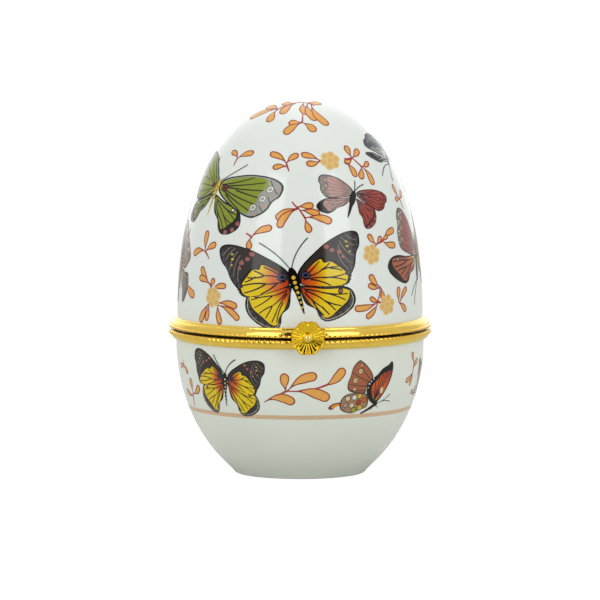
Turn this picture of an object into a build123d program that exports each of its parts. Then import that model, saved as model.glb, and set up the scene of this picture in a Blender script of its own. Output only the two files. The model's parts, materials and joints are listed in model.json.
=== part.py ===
from build123d import *
from math import asin, cos, degrees, radians, sin, sqrt
import os

os.makedirs("parts", exist_ok=True)

# Hinged porcelain egg box with gilt brass mounts, a rosette clasp and a wire-pin hinge.
# All sizes are in millimetres. The origin is the middle of the foot ring, the clasp faces -Y.

# Overall sizes
egg_height = 100.0
seam_z = 38.8  # parting line between bowl and lid
seam_gap = 0.2  # daylight between the two rims when shut
bowl_radius = 32.85
lid_setback = 0.25  # the lid's widest radius is this much less

# Bowl
widest_drop = 3.3  # the bowl runs straight for this far below the seam
bowl_wall = 2.8
floor_thickness = 3.6
bowl_inner_power = 2.7  # squareness of the inside
inside_stations = (12, 28, 42, 54, 66, 78)  # degrees at which the inside's curve is held
foot_height = 3.0
foot_top_radius = 20.0
foot_radius = 17.6
foot_ring_width = 3.2
foot_recess = 1.6
foot_round = 0.9

# Lid
lid_wall = 2.6
lid_top_wall = 2.8
lid_power = 2.44  # fullness of the dome
dome_stations = (0.25, 0.45, 0.62, 0.75, 0.85, 0.925, 0.975)  # where the dome's curve is held

# Gilt rims: a channel that covers each porcelain edge, bedded on cement
flange = 0.7  # thickness over the edge
bed = 0.2  # cement over and inside the edge
bed_side = 0.3  # cement outside the edge, in a ground rebate
skirt = 0.35
skirt_height = 1.7
band_clearance = 0.03
lid_band_height = 2.7
base_band_height = 2.75
band_stand = 1.25  # how far the bands stand out from the bowl
band_lip = 0.85  # height of the base band's moulding, and width of the lid band's shoulder
band_bulge = 0.25  # the lid band's polished moulding overhangs its wire's seat
shoulder_cover = 0.35  # the bands reach this far past the ground rebate
seam_chamfer = 0.2

# Milled wires soldered along the bands
lid_wire = 0.65  # heights of the two wires
base_wire = 1.25
wire_depth = 0.75
lid_wire_round = 0.25  # depth of each wire's rounded front
base_wire_round = 0.45
lid_wire_setback = 0.2  # from the face of the rim to the edge of its wire
base_wire_setback = 0.25

# Hinge at the back
knuckle_radius = 1.15
knuckle_clearance = 0.3  # between knuckles and wires
pin_radius = 0.45
pin_clearance = 0.05
hinge_width = 14.0
middle_knuckle = 5.4
knuckle_gap = 0.2
pin_head_radius = 0.8
pin_head = 0.3
pin_play = 0.05  # under each head
leaf_lift = 0.25  # the leaves stop short of the rims' faces
leaf_root = 0.9  # depth that the leaves are let into the bands' outline before they are fitted

# Clasp at the front
tongue_clearance = 0.85  # between the strip and the wires
tongue_thickness = 0.4
tongue_width = 3.0
pip_radius = 0.4
pip_stand = 0.1  # of the pip's centre behind the strip's back face
pip_rise = 0.65  # of the pip above the strip's end
nib_width = 1.6
nib_height = 0.8
nib_stand = 0.25  # of the catch in front of the wire
nib_root = 0.35
flower_rise = 0.6  # of the rosette's centre above the seam
flower_radius = 4.65
petals = 8
petal_radius = 1.45
flower_thickness = 0.35
flower_depth = 0.9
flower_flat = 1.2
boss_radius = 1.2
boss_stand = 0.75  # of the ball's centre in front of the strip
rivet_radius = 0.4
rivet_tail = 0.3
rivet_tail_radius = 0.55

# Porcelain, worked from the sizes above
lid_radius = bowl_radius - lid_setback
base_face = seam_z - seam_gap / 2
lid_face = seam_z + seam_gap / 2
bowl_edge = base_face - flange - bed
lid_edge = lid_face + flange + bed
bowl_inner = bowl_radius - bowl_wall
lid_inner = lid_radius - lid_wall
bowl_widest_z = seam_z - widest_drop
bowl_depth = (bowl_widest_z - foot_height) / sqrt(1 - (foot_top_radius / bowl_radius) ** 2)
bowl_floor_top = foot_recess + floor_thickness
base_skirt_low = base_face - skirt_height
lid_skirt_high = lid_face + skirt_height
bowl_inner_spring = base_skirt_low - skirt  # where the inside starts to close in
lid_inner_spring = lid_skirt_high + skirt
lid_inner_top = egg_height - lid_top_wall
foot_ring_inner = foot_radius - foot_ring_width

# Metalwork, worked from the porcelain
base_band_inner = bowl_radius + band_clearance
lid_band_inner = lid_radius + band_clearance
base_band_low = base_face - base_band_height
lid_band_high = lid_face + lid_band_height
bowl_shoulder = base_band_low + shoulder_cover
lid_shoulder = lid_band_high - shoulder_cover
base_skirt_inner = bowl_inner - bed - skirt
lid_skirt_inner = lid_inner - bed - skirt
wire_seat = bowl_radius + band_stand
wire_reach = wire_seat + wire_depth
base_wire_top = base_face - base_wire_setback
base_wire_low = base_wire_top - base_wire
lid_wire_low = lid_face + lid_wire_setback
lid_wire_top = lid_wire_low + lid_wire
lip_radius = lid_band_inner + band_lip
lip_low = lid_band_high - band_lip / 2
hinge_y = wire_reach + knuckle_clearance + knuckle_radius
barrel_middle = middle_knuckle / 2 + knuckle_gap
tongue_back = wire_reach + tongue_clearance
tongue_front = tongue_back + tongue_thickness
tongue_low = base_band_low + shoulder_cover
tongue_high = lid_band_high - shoulder_cover
pip_z = tongue_low + pip_rise
nib_z = (base_wire_low + base_wire_top) / 2
flower_z = seam_z + flower_rise


def dome(radius, low, high):
    """Curve of the lid, from its widest level to the pole."""
    points = [(radius, low)]
    for t in dome_stations:
        points.append((radius * sqrt(1 - t**lid_power), low + t * (high - low)))
    return points + [(0, high)]


def dome_radius(z):
    return lid_radius * sqrt(1 - ((z - seam_z) / (egg_height - seam_z)) ** lid_power)


def bowl_inside(angle):
    """Point of the bowl's inside: a squared ellipse that ends level at the floor."""
    half = 2 / bowl_inner_power
    return (
        bowl_inner * cos(radians(angle)) ** half,
        bowl_inner_spring - (bowl_inner_spring - bowl_floor_top) * sin(radians(angle)) ** half,
    )


# Lower half of the egg: slip-cast porcelain with a turned foot
foot_angle = degrees(asin((foot_height - bowl_widest_z) / bowl_depth))
with BuildPart() as base_shell:
    with BuildSketch(Plane.XZ) as bowl_section:
        with BuildLine():
            EllipticalCenterArc(
                (0, bowl_widest_z),
                bowl_radius,
                bowl_depth,
                start_angle=0,
                arc_size=foot_angle,
            )
            Polyline(
                (bowl_radius, bowl_widest_z),
                (bowl_radius, bowl_shoulder),
                (bowl_radius - bed_side, bowl_shoulder),
                (bowl_radius - bed_side, bowl_edge),
                (bowl_inner, bowl_edge),
                (bowl_inner, bowl_inner_spring),
            )
            Spline(
                (bowl_inner, bowl_inner_spring),
                *[bowl_inside(a) for a in inside_stations],
                (0, bowl_floor_top),
                tangents=[(0, -1), (-1, 0)],
            )
            Polyline(
                (0, bowl_floor_top),
                (0, foot_recess),
                (foot_ring_inner - foot_recess / 2, foot_recess),
                (foot_ring_inner, 0),
                (foot_radius, 0),
                (foot_top_radius, foot_height),
            )
        make_face()
        foot_corner = bowl_section.vertices().sort_by_distance((foot_radius, 0, 0))[0]
        ring_corner = bowl_section.vertices().sort_by_distance((foot_ring_inner, 0, 0))[0]
        fillet(foot_corner, foot_round)
        fillet(ring_corner, foot_round / 3)
    revolve(axis=Axis.Z)
base_shell.part.label = "base_shell"
export_step(base_shell.part, "parts/base_shell.step")

# Upper half of the egg
with BuildPart() as lid_shell:
    with BuildSketch(Plane.XZ):
        with BuildLine():
            outer = dome(lid_radius, seam_z, egg_height)
            Spline(
                (dome_radius(lid_shoulder), lid_shoulder),
                *outer[1:],
                tangents=[(0, 1), (-1, 0)],
            )
            Polyline((0, egg_height), (0, lid_inner_top))
            Spline(
                *dome(lid_inner, lid_inner_spring, lid_inner_top),
                tangents=[(0, 1), (-1, 0)],
            )
            Polyline(
                (lid_inner, lid_inner_spring),
                (lid_inner, lid_edge),
                (lid_radius - bed_side, lid_edge),
                (lid_radius - bed_side, lid_shoulder),
                (dome_radius(lid_shoulder), lid_shoulder),
            )
        make_face()
    revolve(axis=Axis.Z)
lid_shell.part.label = "lid_shell"
export_step(lid_shell.part, "parts/lid_shell.step")

# Brass channel round the bowl's mouth: plain moulding below, seat for the milled wire above
with BuildPart() as base_rim:
    with BuildSketch(Plane.XZ):
        with BuildLine():
            ThreePointArc(
                (base_band_inner, base_band_low),
                (wire_seat - band_lip / 2, base_band_low + band_lip / 4),
                (wire_seat, base_band_low + band_lip),
            )
            Polyline(
                (wire_seat, base_band_low + band_lip),
                (wire_seat, base_face - seam_chamfer),
                (wire_seat - seam_chamfer, base_face),
                (base_skirt_inner, base_face),
                (base_skirt_inner, base_skirt_low),
                (base_skirt_inner + skirt, base_skirt_low),
                (base_skirt_inner + skirt, base_face - flange),
                (base_band_inner, base_face - flange),
                (base_band_inner, base_band_low),
            )
        make_face()
    revolve(axis=Axis.Z)
base_rim.part.label = "base_rim"
export_step(base_rim.part, "parts/base_rim.step")

# Brass channel round the lid's mouth: the broad polished moulding
with BuildPart() as lid_rim:
    with BuildSketch(Plane.XZ):
        with BuildLine():
            Polyline(
                (lid_skirt_inner, lid_skirt_high),
                (lid_skirt_inner, lid_face),
                (wire_seat - seam_chamfer, lid_face),
                (wire_seat, lid_face + seam_chamfer),
                (wire_seat, lid_wire_top),
                (wire_seat + band_bulge, lid_wire_top),
            )
            ThreePointArc(
                (wire_seat + band_bulge, lid_wire_top),
                (wire_seat, (lid_wire_top + lip_low) / 2 + band_bulge / 2),
                (lip_radius, lip_low),
            )
            ThreePointArc(
                (lip_radius, lip_low),
                (lip_radius - band_lip / 8, (lip_low + lid_band_high) / 2 + band_lip / 8),
                (lid_band_inner, lid_band_high),
            )
            Polyline(
                (lid_band_inner, lid_band_high),
                (lid_band_inner, lid_face + flange),
                (lid_skirt_inner + skirt, lid_face + flange),
                (lid_skirt_inner + skirt, lid_skirt_high),
                (lid_skirt_inner, lid_skirt_high),
            )
        make_face()
    revolve(axis=Axis.Z)
lid_rim.part.label = "lid_rim"
export_step(lid_rim.part, "parts/lid_rim.step")

# Cement bedding, filling each channel round the porcelain edge
with BuildPart() as base_cement:
    with BuildSketch(Plane.XZ):
        with BuildLine():
            Polyline(
                (bowl_radius - bed_side, bowl_shoulder),
                (base_band_inner, bowl_shoulder),
                (base_band_inner, base_face - flange),
                (base_skirt_inner + skirt, base_face - flange),
                (base_skirt_inner + skirt, base_skirt_low + bed),
                (bowl_inner, base_skirt_low + bed),
                (bowl_inner, bowl_edge),
                (bowl_radius - bed_side, bowl_edge),
                close=True,
            )
        make_face()
    revolve(axis=Axis.Z)
base_cement.part.label = "base_cement"
export_step(base_cement.part, "parts/base_cement.step")

with BuildPart() as lid_cement:
    with BuildSketch(Plane.XZ):
        with BuildLine():
            Polyline(
                (lid_radius - bed_side, lid_shoulder),
                (lid_band_inner, lid_shoulder),
                (lid_band_inner, lid_face + flange),
                (lid_skirt_inner + skirt, lid_face + flange),
                (lid_skirt_inner + skirt, lid_skirt_high - bed),
                (lid_inner, lid_skirt_high - bed),
                (lid_inner, lid_edge),
                (lid_radius - bed_side, lid_edge),
                close=True,
            )
        make_face()
    revolve(axis=Axis.Z)
lid_cement.part.label = "lid_cement"
export_step(lid_cement.part, "parts/lid_cement.step")

# Milled wires, modelled as the plain half-round they are rolled from
with BuildPart() as base_bead_wire:
    with BuildSketch(Plane.XZ):
        with BuildLine():
            ThreePointArc(
                (wire_reach - base_wire_round, base_wire_low),
                (wire_reach, base_wire_low + base_wire / 2),
                (wire_reach - base_wire_round, base_wire_top),
            )
            Polyline(
                (wire_reach - base_wire_round, base_wire_top),
                (wire_seat, base_wire_top),
                (wire_seat, base_wire_low),
                (wire_reach - base_wire_round, base_wire_low),
            )
        make_face()
    revolve(axis=Axis.Z)
base_bead_wire.part.label = "base_bead_wire"
export_step(base_bead_wire.part, "parts/base_bead_wire.step")

with BuildPart() as lid_bead_wire:
    with BuildSketch(Plane.XZ):
        with BuildLine():
            ThreePointArc(
                (wire_reach - lid_wire_round, lid_wire_low),
                (wire_reach, lid_wire_low + lid_wire / 2),
                (wire_reach - lid_wire_round, lid_wire_top),
            )
            Polyline(
                (wire_reach - lid_wire_round, lid_wire_top),
                (wire_seat, lid_wire_top),
                (wire_seat, lid_wire_low),
                (wire_reach - lid_wire_round, lid_wire_low),
            )
        make_face()
    revolve(axis=Axis.Z)
lid_bead_wire.part.label = "lid_bead_wire"
export_step(lid_bead_wire.part, "parts/lid_bead_wire.step")

# Hinge: the lid's middle knuckle, its web and the tab brazed on the lid's band
with BuildPart() as lid_hinge_leaf:
    with BuildSketch(Plane.YZ):
        with Locations((hinge_y, seam_z)):
            Circle(knuckle_radius)
        with BuildLine():
            Polyline(
                (hinge_y, seam_z + knuckle_radius),
                (wire_reach, lip_low),
                (wire_seat - leaf_root / 3, lid_shoulder + leaf_root / 6),
                (wire_seat - leaf_root, lid_shoulder),
                (wire_seat - leaf_root, lid_face + leaf_lift),
                (hinge_y, lid_face + leaf_lift),
                close=True,
            )
        make_face()
    extrude(amount=middle_knuckle / 2, both=True)
    add(lid_rim.part, mode=Mode.SUBTRACT)
    add(lid_bead_wire.part, mode=Mode.SUBTRACT)
    with Locations(Location((0, hinge_y, seam_z), (0, 90, 0))):
        Cylinder(pin_radius + pin_clearance, hinge_width, mode=Mode.SUBTRACT)
lid_hinge_leaf.part.label = "lid_hinge_leaf"
export_step(lid_hinge_leaf.part, "parts/lid_hinge_leaf.step")

# The base's two outer knuckles on one folded strip that passes below the middle one
with BuildPart() as base_hinge_leaf:
    with BuildSketch(Plane.YZ):
        with Locations((hinge_y, seam_z)):
            Circle(knuckle_radius)
        with BuildLine():
            Polyline(
                (hinge_y, seam_z - knuckle_radius),
                (wire_reach, base_band_low + band_lip / 2),
                (wire_seat - leaf_root / 3, bowl_shoulder),
                (wire_seat - leaf_root, bowl_shoulder),
                (wire_seat - leaf_root, base_face - leaf_lift),
                (hinge_y, base_face - leaf_lift),
                close=True,
            )
        make_face()
    extrude(amount=hinge_width / 2, both=True)
    with Locations((0, hinge_y, seam_z)):
        Box(
            2 * barrel_middle,
            2 * (knuckle_radius + knuckle_gap),
            2 * (knuckle_radius + knuckle_gap),
            mode=Mode.SUBTRACT,
        )
    add(base_rim.part, mode=Mode.SUBTRACT)
    add(base_bead_wire.part, mode=Mode.SUBTRACT)
    with Locations(Location((0, hinge_y, seam_z), (0, 90, 0))):
        Cylinder(pin_radius + pin_clearance, hinge_width, mode=Mode.SUBTRACT)
base_hinge_leaf.part.label = "base_hinge_leaf"
export_step(base_hinge_leaf.part, "parts/base_hinge_leaf.step")

# Pin with two upset heads
with BuildPart() as hinge_pin:
    with Locations(Location((0, hinge_y, seam_z), (0, 90, 0))):
        Cylinder(pin_radius, hinge_width + 2 * pin_play)
    head_x = hinge_width / 2 + pin_play + pin_head / 2
    for side in (-1, 1):
        with Locations(Location((side * head_x, hinge_y, seam_z), (0, 90, 0))):
            Cylinder(pin_head_radius, pin_head)
    heads = hinge_pin.edges().filter_by(GeomType.CIRCLE).group_by(Axis.X)
    fillet(heads[0] + heads[-1], pin_head / 2)
hinge_pin.part.label = "hinge_pin"
export_step(hinge_pin.part, "parts/hinge_pin.step")

# Clasp: spring strip on a pad brazed to the lid's band, with an inward pip at its lower end
pad_low = lid_wire_top + leaf_lift
with BuildPart() as clasp_tongue:
    with BuildSketch(Plane.YZ):
        with BuildLine():
            Polyline(
                (-tongue_front, tongue_low),
                (-tongue_front, tongue_high),
                (leaf_root - wire_seat, tongue_high),
                (leaf_root - wire_seat, pad_low),
                (-tongue_back, pad_low),
                (-tongue_back, tongue_low),
                close=True,
            )
        make_face()
    extrude(amount=tongue_width / 2, both=True)
    toe = clasp_tongue.edges().filter_by(Axis.Y).group_by(Axis.Z)[0]
    fillet(toe, tongue_width / 3)
    with Locations((0, pip_stand - tongue_back, pip_z)):
        Sphere(pip_radius)
    add(lid_rim.part, mode=Mode.SUBTRACT)
    with BuildSketch(Plane.XZ.offset(tongue_back)):
        with Locations((0, flower_z)):
            Circle(rivet_radius)
    extrude(amount=tongue_thickness, mode=Mode.SUBTRACT)
clasp_tongue.part.label = "clasp_tongue"
export_step(clasp_tongue.part, "parts/clasp_tongue.step")

# Rosette stamped as a shallow dish with eight petals
flower_plane = Plane((0, -tongue_front, flower_z), x_dir=(1, 0, 0), z_dir=(0, -1, 0))
with BuildPart() as clasp_flower:
    with BuildSketch(Plane((0, -tongue_front, flower_z), x_dir=(1, 0, 0), z_dir=(0, 0, 1))):
        with BuildLine():
            Polyline(
                (0, 0),
                (flower_flat, 0),
                (flower_radius, -flower_depth),
                (flower_radius, -flower_depth - flower_thickness),
                (flower_flat, -flower_thickness),
                (0, -flower_thickness),
                close=True,
            )
        make_face()
    revolve(axis=Axis((0, -tongue_front, flower_z), (0, -1, 0)))
    with BuildSketch(flower_plane) as petal_outline:
        Circle(flower_radius - petal_radius)
        with PolarLocations(flower_radius - petal_radius, petals, start_angle=180 / petals):
            Circle(petal_radius)
    extrude(amount=2 * flower_depth, mode=Mode.INTERSECT)
    with BuildSketch(flower_plane):
        Circle(rivet_radius)
    extrude(amount=flower_depth, mode=Mode.SUBTRACT)
clasp_flower.part.label = "clasp_flower"
export_step(clasp_flower.part, "parts/clasp_flower.step")

# Ball-headed rivet through rosette and strip
with BuildPart() as clasp_boss:
    with BuildSketch(flower_plane.offset(-tongue_thickness)):
        Circle(rivet_radius)
    extrude(amount=tongue_thickness + flower_thickness + boss_stand)
    with Locations((0, -tongue_front - boss_stand, flower_z)):
        Sphere(boss_radius)
    with BuildSketch(flower_plane):  # flat under the ball where it bears on the rosette
        Circle(flower_flat)
        Circle(rivet_radius, mode=Mode.SUBTRACT)
    extrude(amount=flower_thickness, mode=Mode.SUBTRACT)
    with BuildSketch(flower_plane.offset(-tongue_thickness)):
        Circle(boss_radius)
        Circle(rivet_radius, mode=Mode.SUBTRACT)
    extrude(amount=tongue_thickness, mode=Mode.SUBTRACT)
    with BuildSketch(flower_plane.offset(-tongue_thickness - rivet_tail)):
        Circle(rivet_tail_radius)
    extrude(amount=rivet_tail)
clasp_boss.part.label = "clasp_boss"
export_step(clasp_boss.part, "parts/clasp_boss.step")

# Catch that the strip's pip snaps under
with BuildPart() as catch_nib:
    with BuildSketch(Plane.YZ):
        with BuildLine():
            Polyline(
                (nib_root - wire_reach, nib_z - nib_height / 2),
                (-wire_reach - nib_stand, nib_z - nib_height / 6),
                (-wire_reach - nib_stand, nib_z + nib_height / 6),
                (nib_root - wire_reach, nib_z + nib_height / 2),
                close=True,
            )
        make_face()
    extrude(amount=nib_width / 2, both=True)
    add(base_bead_wire.part, mode=Mode.SUBTRACT)
catch_nib.part.label = "catch_nib"
export_step(catch_nib.part, "parts/catch_nib.step")
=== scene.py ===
import json
from bisect import bisect_left
from math import asin, atan2, cos, hypot, pi, radians, sin, sqrt

import bmesh
import bpy
from mathutils import Matrix, Vector
from mathutils.geometry import delaunay_2d_cdt


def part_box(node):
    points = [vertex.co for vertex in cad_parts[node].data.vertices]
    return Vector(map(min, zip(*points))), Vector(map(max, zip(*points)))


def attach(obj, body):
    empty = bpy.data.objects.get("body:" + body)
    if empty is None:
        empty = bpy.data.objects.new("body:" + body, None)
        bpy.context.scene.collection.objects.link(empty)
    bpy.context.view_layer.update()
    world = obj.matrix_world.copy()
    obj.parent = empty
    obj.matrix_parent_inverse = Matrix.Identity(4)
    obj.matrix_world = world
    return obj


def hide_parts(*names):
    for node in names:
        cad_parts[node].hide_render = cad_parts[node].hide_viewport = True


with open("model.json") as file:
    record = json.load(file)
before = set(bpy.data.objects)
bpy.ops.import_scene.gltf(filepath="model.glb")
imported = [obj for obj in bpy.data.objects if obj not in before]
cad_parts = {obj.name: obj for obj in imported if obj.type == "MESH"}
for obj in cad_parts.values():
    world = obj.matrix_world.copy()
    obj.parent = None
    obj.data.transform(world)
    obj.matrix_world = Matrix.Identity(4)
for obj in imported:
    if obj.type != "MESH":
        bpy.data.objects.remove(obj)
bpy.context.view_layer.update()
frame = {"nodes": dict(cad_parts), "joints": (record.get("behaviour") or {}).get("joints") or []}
mm = 0.001
nodes = frame["nodes"]
hingeJoint = next(j for j in frame["joints"] if j["name"] == "lid_hinge")
seamZ = hingeJoint["pos_m"][2]
print("frame loaded,", len(nodes), "CAD nodes")


# small helpers

def linear(code):
    # sRGB hex to a linear colour with alpha
    parts = [int(code[i:i + 2], 16) / 255 for i in (1, 3, 5)]
    return tuple(c / 12.92 if c <= 0.04045 else ((c + 0.055) / 1.055) ** 2.4 for c in parts) + (1.0,)


def addNode(tree, kind, settings=None, links=None):
    # settings are node properties or input values; links are {input: node} or {input: (node, output)}
    node = tree.nodes.new(kind)
    for name, value in (settings or {}).items():
        if isinstance(name, str) and hasattr(node, name):
            setattr(node, name, value)
        else:
            node.inputs[name].default_value = value
    for name, source in (links or {}).items():
        source, output = source if isinstance(source, tuple) else (source, 0)
        tree.links.new(source.outputs[output], node.inputs[name])
    return node


def newMaterial(name):
    material = bpy.data.materials.new(name)
    material.use_nodes = True
    tree = material.node_tree
    tree.nodes.clear()
    return material, tree, (addNode(tree, "ShaderNodeTexCoord"), "Object")


def finishMaterial(tree, shader):
    addNode(tree, "ShaderNodeOutputMaterial", {}, {"Surface": (shader, "BSDF")})


def newPiece(name, mesh):
    piece = bpy.data.objects.new(name, mesh)
    bpy.context.scene.collection.objects.link(piece)
    return piece


def sendOut(piece, body, stoodFor):
    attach(piece, body)
    if stoodFor:
        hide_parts(*stoodFor)
    print("piece", piece.name, len(piece.data.polygons), "faces")


# camera and light

cameraSet = {"aimZ": 45.8 * mm, "distance": 1.5, "azimuth": -3.2, "elevation": 5.5, "lens": 338.7,
             "sensor": 36, "near": 0.05, "far": 20}

cameraData = bpy.data.cameras.new("stillLife")
cameraData.lens = cameraSet["lens"]
cameraData.sensor_width = cameraSet["sensor"]
cameraData.clip_start = cameraSet["near"]
cameraData.clip_end = cameraSet["far"]
camera = bpy.data.objects.new("stillLife", cameraData)
bpy.context.scene.collection.objects.link(camera)
turn, tilt = radians(cameraSet["azimuth"]), radians(cameraSet["elevation"])
back = Vector((sin(turn) * cos(tilt), -cos(turn) * cos(tilt), sin(tilt)))
camera.location = Vector((0, 0, cameraSet["aimZ"])) + back * cameraSet["distance"]
camera.rotation_euler = (-back).to_track_quat("-Z", "Y").to_euler()
bpy.context.scene.camera = camera
bpy.context.scene.view_settings.view_transform = "Standard"

tent = {
    "horizon": 0.64, "zenith": 0.73, "rear": 2.7,  # brightness of the white tent
    "slotHalf": 20, "slotTop": 58, "slot": 0.03,  # dark gap in front where the camera looks in, degrees
    "boxNear": 22, "boxFar": 50, "boxLow": 4, "boxHigh": 46, "box": 2.1,  # two tall softboxes, degrees
    "paper": 1.02, "floorTone": 0.66,
}


def buildTent():
    # white tent with a dark slot and two tall softboxes; the camera itself sees plain white
    world = bpy.data.worlds.new("whiteTent")
    bpy.context.scene.world = world
    world.use_nodes = True
    tree = world.node_tree
    tree.nodes.clear()
    way = addNode(tree, "ShaderNodeTexCoord")
    axes = addNode(tree, "ShaderNodeSeparateXYZ", {}, {0: (way, "Generated")})
    front = addNode(tree, "ShaderNodeMath", {"operation": "MULTIPLY", 1: -1.0}, {0: (axes, "Y")})
    around = addNode(tree, "ShaderNodeMath", {"operation": "ARCTAN2"}, {0: (axes, "X"), 1: front})
    side = addNode(tree, "ShaderNodeMath", {"operation": "ABSOLUTE"}, {0: around})
    height = addNode(tree, "ShaderNodeMath", {"operation": "ARCSINE"}, {0: (axes, "Z")})
    edges = {}
    for name, source, at, blur, before, after in (  # angles in degrees
            ("slotSides", side, tent["slotHalf"], 1, 1, 0),
            ("slotHeight", height, tent["slotTop"], 8, 1, 0),
            ("sky", height, 45, 45, tent["horizon"], tent["zenith"]),
            ("behind", side, 149, 29, 1, tent["rear"]),  # bright sheet behind, it lights the rounded edges
            ("boxNear", side, tent["boxNear"], 0.5, 0, tent["box"]),
            ("boxFar", side, tent["boxFar"], 0.5, 1, 0),
            ("boxLow", height, tent["boxLow"], 0.5, 0, 1),
            ("boxHigh", height, tent["boxHigh"], 0.5, 1, 0)):
        edges[name] = addNode(tree, "ShaderNodeMapRange", {
            "interpolation_type": "SMOOTHSTEP", "From Min": radians(at - blur),
            "From Max": radians(at + blur),
            "To Min": before, "To Max": after}, {"Value": source})
    for name, one, other in (("slot", "slotSides", "slotHeight"), ("wall", "sky", "behind"),
                             ("boxSides", "boxNear", "boxFar"), ("boxHeight", "boxLow", "boxHigh")):
        edges[name] = addNode(tree, "ShaderNodeMath", {"operation": "MULTIPLY"}, {
            0: edges[one], 1: edges[other]})
    keep = addNode(tree, "ShaderNodeMapRange", {"To Min": 1.0, "To Max": tent["slot"]},
                   {"Value": edges["slot"]})
    shaded = addNode(tree, "ShaderNodeMath", {"operation": "MULTIPLY"}, {0: edges["wall"], 1: keep})
    lit = addNode(tree, "ShaderNodeMath", {"operation": "MULTIPLY_ADD"},
                  {0: edges["boxSides"], 1: edges["boxHeight"], 2: shaded})
    tentLight = addNode(tree, "ShaderNodeBackground", {"Color": linear("#FDFEFF")}, {"Strength": lit})
    paper = addNode(tree, "ShaderNodeBackground", {"Color": (1, 1, 1, 1), "Strength": tent["paper"]})
    ray = addNode(tree, "ShaderNodeLightPath")
    both = addNode(tree, "ShaderNodeMixShader", {}, {
        "Fac": (ray, "Is Camera Ray"), 1: tentLight, 2: paper})
    addNode(tree, "ShaderNodeOutputWorld", {}, {"Surface": both})


floorSize = {"hole": 16.5 * mm, "reach": 3.0, "drop": 0.05 * mm, "around": 96, "grain": 900.0,
             "tint": (0.98, 1.0, 0.94)}


def buildFloor():
    # pale paper, cut out under the foot ring so that light still reaches the recess in views from below
    mesh = bpy.data.meshes.new("paperFloor")
    n = floorSize["around"]
    spots = [(r * sin(2 * pi * i / n), r * cos(2 * pi * i / n), -floorSize["drop"])
             for r in (floorSize["hole"], floorSize["reach"]) for i in range(n)]
    mesh.from_pydata(spots, [], [(i, (i + 1) % n, n + (i + 1) % n, n + i) for i in range(n)])
    material, tree, place = newMaterial("paleStudioPaper")
    tone = tent["floorTone"]
    grain = addNode(tree, "ShaderNodeTexNoise", {"Scale": floorSize["grain"], "Detail": 2.0},
                    {"Vector": place})
    shade = addNode(tree, "ShaderNodeMapRange", {"To Min": tone * 0.97, "To Max": tone * 1.03},
                    {"Value": grain})
    cast = addNode(tree, "ShaderNodeVectorMath", {"operation": "SCALE", 0: floorSize["tint"]},
                   {"Scale": shade})
    matt = addNode(tree, "ShaderNodeBsdfDiffuse", {}, {"Color": cast})
    addNode(tree, "ShaderNodeOutputMaterial", {}, {"Surface": matt})
    mesh.materials.append(material)
    floor = newPiece("paperFloor", mesh)
    floor.visible_camera = False  # the white surround shows in its place


buildTent()
buildFloor()
print("camera, tent and floor set")


# materials

def patchyColour(tree, place, size, detail, pale, deep):
    # two close tones in soft patches of the given size; gives back the patches and the colour
    patch = addNode(tree, "ShaderNodeTexNoise", {"Scale": 1 / size, "Detail": detail}, {"Vector": place})
    tint = addNode(tree, "ShaderNodeMix", {"data_type": "RGBA", 6: linear(pale), 7: linear(deep)},
                   {0: (patch, "Fac")})
    return (patch, "Fac"), (tint, 2)


def glazedPorcelain(name, pale, deep):
    # hard-paste porcelain under a clear fired glaze: cool white, wet shine, faint waviness in reflections
    material, tree, place = newMaterial(name)
    cloud, tint = patchyColour(tree, place, 14 * mm, 3.0, pale, deep)
    wave = addNode(tree, "ShaderNodeTexNoise", {"Scale": 1 / (5 * mm), "Detail": 2.0}, {"Vector": place})
    ripple = addNode(tree, "ShaderNodeBump", {"Strength": 0.03, "Distance": 0.3 * mm},
                     {"Height": (wave, "Fac")})
    gloss = addNode(tree, "ShaderNodeMapRange", {"To Min": 0.05, "To Max": 0.10}, {"Value": cloud})
    glaze = addNode(tree, "ShaderNodeBsdfPrincipled", {"IOR": 1.5}, {
        "Base Color": tint, "Roughness": gloss, "Normal": ripple})
    finishMaterial(tree, glaze)
    return material


def dustyBiscuit(name, pale, deep, grit):
    # unglazed fired clay or set plaster: dry, matt, with a fine grit
    material, tree, place = newMaterial(name)
    grain, tint = patchyColour(tree, place, grit * mm, 4.0, pale, deep)
    rough = addNode(tree, "ShaderNodeBump", {"Strength": 0.3, "Distance": 0.05 * mm}, {"Height": grain})
    clay = addNode(tree, "ShaderNodeBsdfPrincipled", {"Roughness": 0.82}, {
        "Base Color": tint, "Normal": rough})
    finishMaterial(tree, clay)
    return material


# painted shade: a dark brown colour laid into the narrow seam between lid and base rims, where shade falls
seamShadow = {"from": 0.30 * mm, "to": 0.42 * mm, "inner": 33.5 * mm, "innerFade": 0.3 * mm, "depth": 0.94,
              "seamShade": "#3A1C08"}
buffing = {"patch": 2.5 * mm, "marks": 1.6 * mm, "stretch": 14.0, "dents": 0.9 * mm, "dentDepth": 0.10 * mm}


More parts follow.
